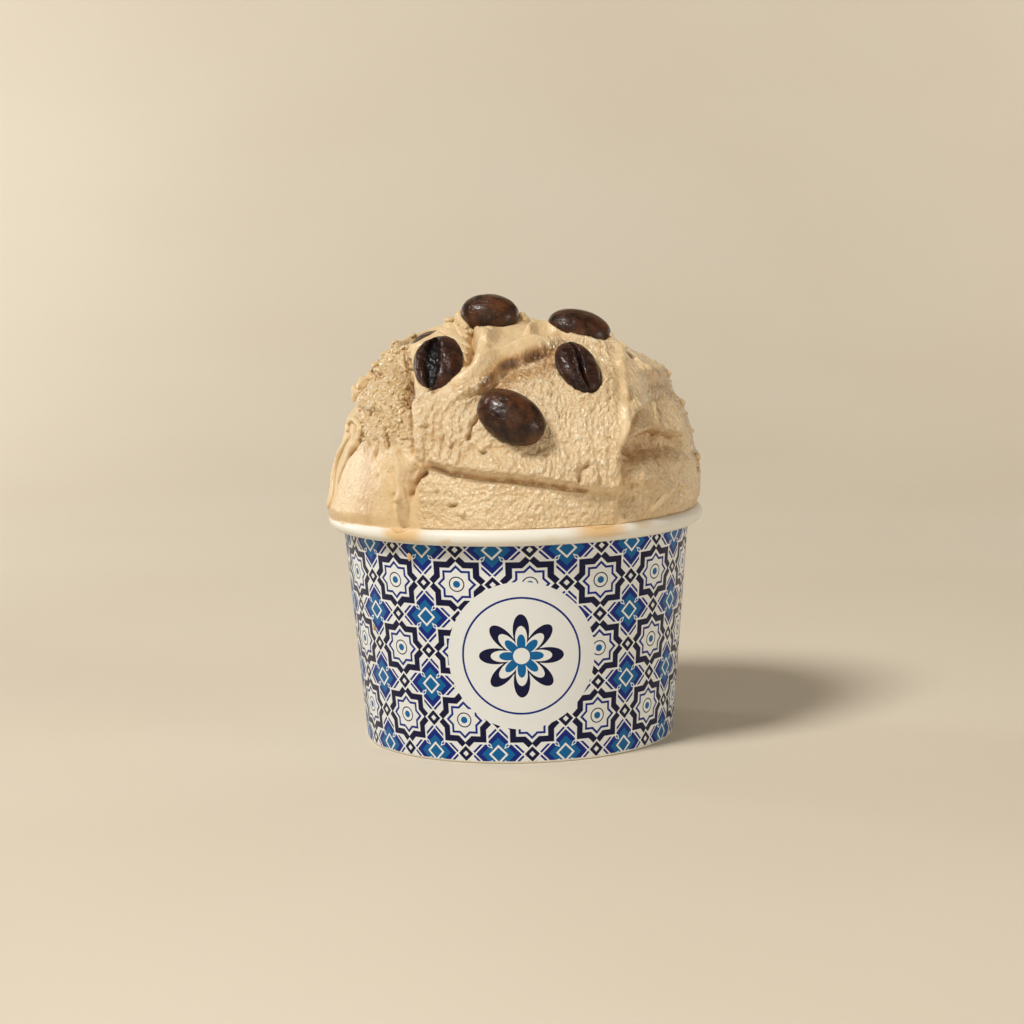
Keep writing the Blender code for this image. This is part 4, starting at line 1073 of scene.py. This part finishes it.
def gelato_look():
    look = Look("coffee_gelato")
    pale = rgb(232, 206, 164)
    tan = rgb(219, 190, 143)
    broad = look.ramp(look.noise(55.0, 4.0, 0.55), 0.35, 0.68)
    colour = look.blend(broad, pale, tan)
    streak = look.ramp(look.noise(190.0, 5.0, 0.6, stretch=(1.0, 1.0, 0.45)), 0.48, 0.75)
    colour = look.blend(look.math("MULTIPLY", streak, 0.30), colour, rgb(208, 172, 124))
    crumbly = look.attribute("crumbly")
    colour = look.blend(look.math("MULTIPLY", crumbly, 0.36), colour, rgb(212, 180, 126))
    worked = look.math("MAXIMUM", look.attribute("panel"), crumbly)
    beads = look.math("SUBTRACT", 1.0, look.spots(1500.0, feature="SMOOTH_F1"))
    small = look.noise(1300.0, 3.0, 0.6, stretch=(1.0, 1.0, 0.6))
    tiny = look.noise(4000.0, 2.0, 0.55)
    grainy = look.math("ADD", look.math("MULTIPLY", beads, 0.6), look.math("ADD", small,
                       look.math("MULTIPLY", tiny, 0.18)))
    # Painted shade: warm brown between the grains of the worked faces, a little everywhere.
    share = look.math("ADD", look.math("MULTIPLY", worked, 0.26), 0.06)
    gap = look.math("MULTIPLY", look.ramp(grainy, 0.96, 0.74), share)
    colour = look.blend(gap, colour, rgb(204, 160, 102))
    # Painted shade: browner in the lows of the small relief.
    painted_cavity_shade = look.math("MULTIPLY", look.attribute("painted_cavity_shade"), 0.40)
    colour = look.blend(painted_cavity_shade, colour, rgb(200, 154, 96))
    # Painted shade: browner in grooves, hollows, under folds and on the shaded flank, darkest where strongest; the
    # drops' melt colour comes the same way.
    painted_shade_and_melt = look.attribute("painted_shade_and_melt")
    colour = look.blend(look.math("MULTIPLY", look.ramp(painted_shade_and_melt, 0.10, 0.85), 0.84), colour, rgb(172, 122, 62))
    colour = look.blend(look.math("MULTIPLY", look.ramp(painted_shade_and_melt, 0.66, 1.0), 0.80), colour, rgb(92, 54, 24))
    # Painted glints: pale cream on the crests of the relief and grain, standing for wet highlights.
    painted_glint = look.math("MULTIPLY", look.attribute("painted_glint"), look.ramp(grainy, 0.90, 1.04))
    colour = look.blend(look.math("MULTIPLY", painted_glint, 0.75), colour, rgb(254, 244, 220))
    melted = look.attribute("melted")
    colour = look.blend(look.math("MULTIPLY", melted, 0.85), colour, rgb(218, 172, 112))
    speck = look.ramp(look.spots(620.0), 0.10, 0.05)
    sparse = look.ramp(look.noise(420.0, 1.0), 0.60, 0.66)
    colour = look.blend(look.math("MULTIPLY", look.math("MULTIPLY", speck, sparse), 0.7),
                        colour, rgb(110, 68, 36))
    scale = look.math("ADD", look.math("MULTIPLY", worked, 0.70), 0.30)
    relief = look.math("MULTIPLY", grainy, scale)
    normal = look.bump(relief, 0.00062, 1.0)
    wet = look.ramp(look.noise(800.0, 3.0), 0.35, 0.7)
    rough = look.math("SUBTRACT", look.math("ADD", look.math("MULTIPLY", wet, 0.16), 0.34),
                      look.math("MULTIPLY", melted, 0.12))
    look.set(Base_Color=colour, Normal=normal, Coat_Normal=normal, Subsurface_Weight=0.10, Roughness=rough,
             Subsurface_Radius=(1.0, 0.55, 0.28), Subsurface_Scale=0.0007)
    coat = look.math("ADD", look.math("MULTIPLY", worked, 0.62), 0.28)
    look.set(Coat_Weight=coat, **{"Specular_IOR_Level": 0.45, "Coat_Roughness": 0.10})
    return look.material


# ==== coffee beans ============================================================
def bean_frame(centre, long_axis, outward):
    along = Vector(long_axis).normalized()
    out = Vector(outward)
    out = (out - along * out.dot(along)).normalized()
    across = out.cross(along)
    turn = np.array((along, across, out)).T
    return turn, np.array(centre)


def bean_points(length, width, thickness, groove_width, bend, offset, seed):
    """Rows of points of one bean, X along it, its grooved side at -Z, and how far each is in the groove."""
    steps = np.linspace(0.0, math.pi, BEAN_ROWS + 2)[1:-1]
    angle = np.arange(BEAN_COLUMNS) * math.tau / BEAN_COLUMNS
    angle = angle + 0.30 * np.sin(2.0 * angle)
    along = -np.cos(steps)[:, None]
    ring = np.sin(steps)[:, None] ** 0.88
    side = np.cos(angle)[None, :]
    rise = np.sin(angle)[None, :]
    square = (np.abs(side) ** 2.8 + np.abs(rise) ** 2.8) ** (-1.0 / 2.8)
    flat = rise < 0
    y = np.where(flat, side * square, side) * ring * width / 2
    z = np.where(flat, rise * square * 0.38, rise * 0.62) * ring * thickness
    x = along * length / 2 * np.ones_like(y)
    points = np.stack((x, y, z), axis=2).reshape(-1, 3)
    reach = np.repeat(ring, BEAN_COLUMNS, axis=1).reshape(-1)
    share = np.repeat(along, BEAN_COLUMNS, axis=1).reshape(-1)
    under = (points[:, 2] < -0.12 * thickness * reach).astype(float)
    line = offset + bend * np.sin(share * 2.6)
    half = groove_width * (0.30 + 0.70 * (1.0 - share ** 2)) * (1.0 + 0.5 * grain(points, 0.8, seed))
    off = points[:, 1] - line
    inside = np.exp(-np.abs(off / half) ** 3.0) * under * ease((reach - 0.22) / 0.35)
    lips = np.exp(-((np.abs(off) - half * 1.5) / (0.35 + half * 0.4)) ** 2) * under * reach
    round_lobe = 0.16 * (off / width) ** 2 * thickness * under
    points[:, 2] += inside * (0.75 + 0.55 * groove_width) - 0.16 * lips + round_lobe
    wrinkle = 0.13 * grain(points, (0.30, 0.9, 0.9), seed + 40) + 0.05 * grain(points, (0.9, 1.9, 1.9), seed + 50)
    fold = np.maximum(grain(points, (0.55, 0.28, 0.5), seed + 70) - 0.12, 0.0) * 0.45
    rough = inside * (0.45 * grain(points, 1.3, seed + 60) + 0.35 * grain(points, 2.8, seed + 61))
    middle = points / np.maximum(np.linalg.norm(points, axis=1), 1e-6)[:, None]
    points += middle * (wrinkle - fold)[:, None]
    points[:, 2] += rough
    return points, inside


def build_bean(name, node, centre, along, out, length, width, thickness, _, groove_out,
               groove_width, bend, offset, seed, look):
    turn, middle = bean_frame(centre, along, out)
    points, inside = bean_points(length, width, thickness, groove_width, bend, offset, seed)
    ends = np.array(((-length / 2, 0.0, 0.0), (length / 2, 0.0, 0.0)))
    if groove_out:
        points[:, 2] *= -1.0
        points[:, 1] *= -1.0
    placed = points @ turn.T + middle
    poles = ends @ turn.T + middle
    rows = placed.reshape(-1, BEAN_COLUMNS, 3)
    mesh = mesh_from_rows(name, list(rows), True, poles[0], poles[1])
    paint(mesh, "groove", np.concatenate((inside, (0.0, 0.0))))
    return place(mesh, look, "roasted_bean", (node,))


def bean_look(name, dark, light, depth):
    look = Look(name)
    patch = look.ramp(look.noise(300.0, 4.0, 0.6), 0.32, 0.78)
    colour = look.blend(patch, dark, light)
    streak = look.ramp(look.noise(900.0, 4.0, 0.6), 0.50, 0.72)
    colour = look.blend(look.math("MULTIPLY", streak, 0.30), colour, rgb(96, 68, 50))
    colour = look.blend(look.attribute("groove"), colour, rgb(10, 7, 5))
    fine = look.noise(3200.0, 3.0, 0.55)
    dents = look.noise(800.0, 3.0, 0.5)
    crease = look.noise(260.0, 3.0, 0.6, stretch=(1.0, 1.0, 2.6))
    crease = look.math("ABSOLUTE", look.math("SUBTRACT", crease, 0.5))
    relief = look.math("ADD", look.math("MULTIPLY", fine, 0.25), dents)
    relief = look.math("ADD", relief, look.math("MULTIPLY", look.ramp(crease, 0.0, 0.03), 0.5))
    oily = look.math("ADD", look.math("MULTIPLY", look.noise(420.0, 4.0, 0.6), 0.26), 0.20)
    rough = look.math("ADD", oily, look.math("MULTIPLY", look.attribute("groove"), 0.10))
    normal = look.bump(relief, depth, 0.9)
    look.set(Base_Color=colour, Roughness=rough, Normal=normal, Coat_Normal=normal)
    look.set(**{"Specular_IOR_Level": 0.26, "Coat_Weight": 0.18, "Coat_Roughness": 0.13})
    return look.material


# ==== paper cup ===============================================================
def tangent_point(foot):
    radius = ROLL_RADIUS - PAPER / 2
    across = ROLL_CENTRE[0] - foot[0]
    rise = ROLL_CENTRE[1] - foot[1]
    line = math.atan2(rise, across) + math.asin(radius / math.hypot(across, rise))
    turn = line + math.pi / 2
    return ROLL_CENTRE[0] + radius * math.cos(turn), ROLL_CENTRE[1] + radius * math.sin(turn), turn


def board_line():
    """Middle line of the board: round the roll, down the wall, under and up the skirt."""
    outer = FOOT_RADIUS - PAPER / 2
    corner = PAPER / 2 + FOOT_CORNER
    inner = outer - (FOOT_WIDTH - PAPER)
    touch_x, touch_z, turn = tangent_point((outer, corner))
    radius = ROLL_RADIUS - PAPER / 2
    points = []
    for step in range(ROLL_ROWS):
        angle = turn - math.radians(ROLL_TURN) * (1.0 - step / ROLL_ROWS)
        points.append((ROLL_CENTRE[0] + radius * math.cos(angle),
                       ROLL_CENTRE[1] + radius * math.sin(angle)))
    for step in range(WALL_ROWS):
        share = step / WALL_ROWS
        points.append((touch_x + (outer - touch_x) * share, touch_z + (corner - touch_z) * share))
    points += rounded_corner(outer - FOOT_CORNER, corner, 0.0, -90.0)
    points += rounded_corner(inner + FOOT_CORNER, corner, -90.0, -180.0)
    points.append((inner, SKIRT_HEIGHT))
    return points


def rounded_corner(x, z, start, end):
    return [(x + FOOT_CORNER * math.cos(math.radians(start + (end - start) * k / 4)),
             z + FOOT_CORNER * math.sin(math.radians(start + (end - start) * k / 4))) for k in range(5)]


def thicken(line, thickness):
    line = np.array(line)
    along = np.gradient(line, axis=0)
    along /= np.linalg.norm(along, axis=1)[:, None]
    across = np.stack((-along[:, 1], along[:, 0]), axis=1) * thickness / 2
    return np.concatenate((line + across, (line - across)[::-1]))


def build_wall():
    outline = thicken(board_line(), PAPER)
    angles = math.tau * np.arange(WALL_COLUMNS) / WALL_COLUMNS
    rows = []
    for radius, height in outline:
        places = np.stack((np.cos(angles), np.sin(angles), np.zeros(len(angles))), axis=1)
        on_wall = float(ease(np.array(height / 3.0))) * float(ease(np.array((43.0 - height) / 2.0)))
        arc = (angles - SEAM_ANGLE) * radius
        lap = SEAM_STEP * ease((arc + SEAM_LAP) / 0.8) * (arc < 0) * on_wall
        wave = 0.05 * grain(places * 4.0 + height * 0.02, 1.0, 70)
        ring = radius + lap + wave
        rows.append(np.stack((ring * np.cos(angles), ring * np.sin(angles),
                              np.full(len(angles), height) + 0.06 * grain(places, 2.2, 71)
                              * float(ease(np.array((height - 40.0) / 4.0)))), axis=1))
    rows.append(rows[0])
    mesh = mesh_from_rows("paper_wall", rows[::-1], True)
    merge_doubles(mesh)
    points = np.empty(len(mesh.vertices) * 3)
    mesh.vertices.foreach_get("co", points)
    points = points.reshape(-1, 3) / MM
    add_print_map(mesh, points)
    paint(mesh, "stain", rim_stain(points))
    return place(mesh, wall_look(), "printed_board", ("cup_wall",))


def merge_doubles(mesh):
    bm = bmesh.new()
    bm.from_mesh(mesh)
    bmesh.ops.remove_doubles(bm, verts=bm.verts, dist=1e-6)
    bm.to_mesh(mesh)
    bm.free()


def add_print_map(mesh, points):
    """UV map of the print: tiles round the cup and up it."""
    layer = mesh.uv_layers.new(name="print")
    corner_points = points[[loop.vertex_index for loop in mesh.loops]]
    angle = (np.arctan2(corner_points[:, 1], corner_points[:, 0]) - SEAM_ANGLE) % math.tau
    firsts = [face.loop_start for face in mesh.polygons for _ in range(face.loop_total)]
    angle = np.where(angle - angle[firsts] > math.pi, angle - math.tau, angle)
    angle = np.where(angle - angle[firsts] < -math.pi, angle + math.tau, angle)
    tiles = np.stack((angle / math.tau * TILES_ROUND, (corner_points[:, 2] - TILE_START) / TILE_HEIGHT), axis=1)
    layer.data.foreach_set("uv", tiles.astype(np.float32).ravel())


def rim_stain(points):
    """Thin melted gelato soaked into and smeared over the rim."""
    angle = np.arctan2(points[:, 1], points[:, 0])
    outer = ease((np.hypot(points[:, 0], points[:, 1]) - ROLL_CENTRE[0] + 1.0) / 0.6)
    stain = np.zeros(len(points))
    for x, half_width, height, half_height, strength in STAINS:
        middle = -math.acos(x / RIM_RADIUS)
        across = (angle - middle) * RIM_RADIUS + 0.9 * grain(points, 0.45, 73)
        level = points[:, 2] - height + 0.5 * grain(points, 0.35, 74)
        patch = np.exp(-np.abs(across / half_width) ** 4 - np.abs(level / half_height) ** 4)
        stain = np.maximum(stain, strength * patch)
    return np.clip(stain * outer, 0.0, 1.0)


def within(look, value, low, high):
    above = look.math("GREATER_THAN", value, low)
    below = look.math("LESS_THAN", value, high)
    return look.math("MULTIPLY", above, below)


def tile_print(look, paper, navy, royal, teal):
    """Star-and-lattice tiles in three blues."""
    uv = look.node("ShaderNodeUVMap", uv_map="print").outputs[0]
    split = look.node("ShaderNodeSeparateXYZ", {"Vector": uv})
    across = look.math("ABSOLUTE", look.math("SUBTRACT", look.math("FRACT", split.outputs[0]), 0.5))
    up = look.math("ABSOLUTE", look.math("SUBTRACT", look.math("FRACT", split.outputs[1]), 0.5))
    square = look.math("MAXIMUM", across, up)
    diamond = look.math("MULTIPLY", look.math("ADD", across, up), 0.7071)
    star = look.math("MINIMUM", square, diamond)
    from_side = look.math("SUBTRACT", 0.5, across)
    from_top = look.math("SUBTRACT", 0.5, up)
    corner = look.math("ADD", from_side, from_top)
    ray = look.math("ABSOLUTE", look.math("SUBTRACT", from_side, from_top))
    side_point = look.math("MINIMUM", look.math("ADD", from_side, up), look.math("ADD", from_top, across))
    dart = look.math("ADD", look.math("MULTIPLY", ray, 2.2), look.math("ABSOLUTE", look.math("SUBTRACT", corner, 0.27)))
    round_ = look.math("SQRT", look.math("ADD", look.math("MULTIPLY", across, across),
                                         look.math("MULTIPLY", up, up)))
    colour = look.blend(look.math("LESS_THAN", corner, 0.42), paper, royal)
    colour = look.blend(look.math("LESS_THAN", corner, 0.25), colour, teal)
    colour = look.blend(within(look, corner, 0.345, 0.375), colour, paper)
    colour = look.blend(look.math("LESS_THAN", dart, 0.10), colour, paper)
    colour = look.blend(look.math("LESS_THAN", dart, 0.055), colour, teal)
    colour = look.blend(look.math("LESS_THAN", corner, 0.145), colour, paper)
    colour = look.blend(look.math("LESS_THAN", corner, 0.105), colour, teal)
    colour = look.blend(look.math("LESS_THAN", star, 0.355), colour, paper)
    colour = look.blend(within(look, star, 0.235, 0.325), colour, navy)
    colour = look.blend(within(look, star, 0.165, 0.198), colour, royal)
    colour = look.blend(look.math("LESS_THAN", side_point, 0.150), colour, paper)
    colour = look.blend(look.math("LESS_THAN", side_point, 0.115), colour, navy)
    colour = look.blend(look.math("LESS_THAN", side_point, 0.045), colour, paper)
    colour = look.blend(within(look, round_, 0.095, 0.112), colour, navy)
    return look.blend(look.math("LESS_THAN", round_, 0.050), colour, teal)


def wall_look():
    look = Look("printed_board")
    paper = rgb(229, 231, 229)
    navy = rgb(6, 10, 54)
    royal = rgb(10, 36, 122)
    teal = rgb(4, 96, 152)
    colour = tile_print(look, paper, navy, royal, teal)
    colour = disc_print(look, colour, paper, navy, teal, royal)
    height = look.node("ShaderNodeSeparateXYZ", {"Vector": look.coordinates()}).outputs[2]
    colour = look.blend(within(look, height, 0.0005, 0.0431), rgb(232, 228, 216), colour)
    stain = look.math("MULTIPLY", look.attribute("stain"), look.ramp(look.noise(260.0, 4.0), 0.0, 0.40))
    colour = look.blend(look.math("MULTIPLY", stain, 0.95), colour, rgb(222, 184, 128))
    fibre = look.noise(2200.0, 4.0, 0.6)
    look.set(Base_Color=colour, Normal=look.bump(fibre, 0.00003, 0.6),
             Roughness=look.math("ADD", look.math("MULTIPLY", look.noise(90.0, 3.0), 0.12), 0.32))
    look.set(**{"Specular_IOR_Level": 0.22})
    return look.material


def disc_print(look, colour, paper, navy, teal, royal):
    """Plain disc on the front with a fine ring and a small rosette."""
    place_ = look.node("ShaderNodeSeparateXYZ", {"Vector": look.coordinates()})
    x = look.math("SUBTRACT", place_.outputs[0], 0.033 * math.cos(DISC_ANGLE))
    z = look.math("SUBTRACT", place_.outputs[2], DISC_HEIGHT * MM)
    facing = look.math("LESS_THAN", place_.outputs[1], 0.0)
    angle = look.math("MULTIPLY", look.math("ARCSINE", look.math("DIVIDE", x, 0.033)), 0.033)
    reach = look.math("SQRT", look.math("ADD", look.math("MULTIPLY", angle, angle), look.math("MULTIPLY", z, z)))
    inside = look.math("MULTIPLY", look.math("LESS_THAN", reach, DISC_RADIUS * MM), facing)
    turn = look.math("ARCTAN2", z, angle)
    petals = look.math("ABSOLUTE", look.math("COSINE", look.math("MULTIPLY", turn, 4.0)))
    outer = look.math("MULTIPLY", look.math("ADD", look.math("MULTIPLY", petals, 0.55), 0.45), 0.0082)
    inner = look.math("MULTIPLY", outer, 0.72)
    disc = look.blend(0.0, paper, paper)
    disc = look.blend(look.math("LESS_THAN", reach, outer), disc, navy)
    disc = look.blend(look.math("LESS_THAN", reach, inner), disc, paper)
    heart = look.math("MULTIPLY", outer, 0.52)
    disc = look.blend(look.math("LESS_THAN", reach, heart), disc, teal)
    disc = look.blend(look.math("LESS_THAN", reach, 0.0016), disc, paper)
    ring_low = look.math("GREATER_THAN", reach, 0.0112)
    ring_high = look.math("LESS_THAN", reach, 0.0116)
    disc = look.blend(look.math("MULTIPLY", ring_low, ring_high), disc, royal)
    return look.blend(inside, colour, disc)


def build_base():
    """Recessed base: a disc with a turned-down edge and a shallow embossed ring."""
    radius = BASE_HIGH.x / MM
    low = BASE_UNDERSIDE
    high = BASE_HIGH.z / MM
    outline = ((radius - 9.0, low), (radius - 8.4, low + 0.12), (radius - 7.6, low + 0.12),
               (radius - 7.0, low), (radius - 0.25, low), (radius, low + 0.12), (radius, high - 0.12),
               (radius - 0.2, high), (radius - 10.0, high))
    angles = math.tau * np.arange(WALL_COLUMNS // 2) / (WALL_COLUMNS // 2)
    rows = [np.stack((r * np.cos(angles), r * np.sin(angles), np.full(len(angles), h)), axis=1)
            for r, h in outline]
    mesh = mesh_from_rows("paper_base", rows, True, (0.0, 0.0, low), (0.0, 0.0, high))
    look = Look("white_board")
    fibre = look.noise(1800.0, 4.0, 0.6)
    tone = look.blend(look.ramp(look.noise(120.0, 3.0), 0.3, 0.7), rgb(238, 233, 221), rgb(228, 221, 206))
    look.set(Base_Color=tone, Roughness=0.55, Normal=look.bump(fibre, 0.00004, 0.6))
    return place(mesh, look.material, "white_board", ("cup_base",))


# ==== stage ===================================================================
def build_sweep():
    """Plain beige paper that runs along the floor and up behind."""
    half = 2300.0
    bend = 500.0
    near = -2200.0
    far = 900.0
    section = [(near, 0.0), (0.0, 0.0), (far - bend, 0.0)]
    for step in range(1, 13):
        turn = math.radians(90.0 * step / 12)
        section.append((far - bend + bend * math.sin(turn), bend - bend * math.cos(turn)))
    section.append((far, 1800.0))
    rows = [np.array(((-half, y, z), (half, y, z))) for y, z in section]
    mesh = mesh_from_rows("paper_sweep", rows, False)
    item = bpy.data.objects.new("paper_sweep", mesh)
    bpy.context.scene.collection.objects.link(item)
    look = Look("beige_paper")
    tone = look.blend(look.ramp(look.noise(6.0, 2.0), 0.3, 0.7), rgb(221, 210, 190), rgb(217, 205, 184))
    look.set(Base_Color=tone, Roughness=0.8, Normal=look.bump(look.noise(2500.0, 3.0), 0.00003, 0.4))
    mesh.materials.append(look.material)


def add_area(name, place_, size, power, colour, target=(0.0, 0.0, 50.0)):
    light = bpy.data.lights.new(name, "AREA")
    light.shape = "DISK"
    light.size = size * MM
    light.energy = power
    light.color = colour
    item = bpy.data.objects.new(name, light)
    bpy.context.scene.collection.objects.link(item)
    item.location = Vector(place_) * MM
    item.rotation_euler = (Vector(target) * MM - item.location).to_track_quat("-Z", "Y").to_euler()


def build_light():
    add_area("key", (-480.0, -480.0, 860.0), 300.0, 9.9, (1.0, 0.985, 0.955))
    add_area("front_fill", (-100.0, -1000.0, 500.0), 900.0, 0.95, (1.0, 0.97, 0.93))
    add_area("right_fill", (820.0, -560.0, 170.0), 500.0, 2.6, (1.0, 0.94, 0.85))
    add_area("left_wash", (-620.0, 380.0, 170.0), 300.0, 2.7, (0.93, 0.97, 1.0), (0.0, 820.0, 20.0))
    add_area("right_wash", (640.0, 420.0, 170.0), 300.0, 1.35, (1.0, 0.99, 0.97), (150.0, 850.0, 40.0))
    world = bpy.data.worlds.new("soft_room")
    bpy.context.scene.world = world
    world.use_nodes = True
    world.node_tree.nodes["Background"].inputs["Color"].default_value = (1.0, 0.85, 0.69, 1.0)
    world.node_tree.nodes["Background"].inputs["Strength"].default_value = 0.14


def build_camera():
    camera = bpy.data.cameras.new("camera")
    camera.sensor_width = 36.0
    camera.lens = CAMERA_LENS
    camera.clip_start = 0.01
    camera.clip_end = 10.0
    item = bpy.data.objects.new("camera", camera)
    bpy.context.scene.collection.objects.link(item)
    pitch = math.radians(CAMERA_PITCH)
    ahead = Vector((0.0, math.cos(pitch), -math.sin(pitch)))
    centre = Vector(CAMERA_AIM) * MM - ahead * CAMERA_DISTANCE * MM
    turn = ahead.to_track_quat("-Z", "Y").to_matrix().to_4x4()
    roll = Matrix.Rotation(-math.radians(CAMERA_ROLL), 4, "Z")
    item.matrix_world = Matrix.Translation(centre) @ turn @ roll
    bpy.context.scene.camera = item


build_camera()
build_gelato()
BEAN_LOOKS = {True: bean_look("roasted_bean_open", rgb(30, 13, 7), rgb(76, 41, 25), 0.00014),
              False: bean_look("roasted_bean_dome", rgb(30, 14, 7), rgb(100, 61, 36), 0.00008)}
for bean in BEANS:
    build_bean(*bean, BEAN_LOOKS[bean[9]])
build_wall()
build_base()
build_sweep()
build_light()
bpy.context.scene.view_settings.view_transform = "Standard"
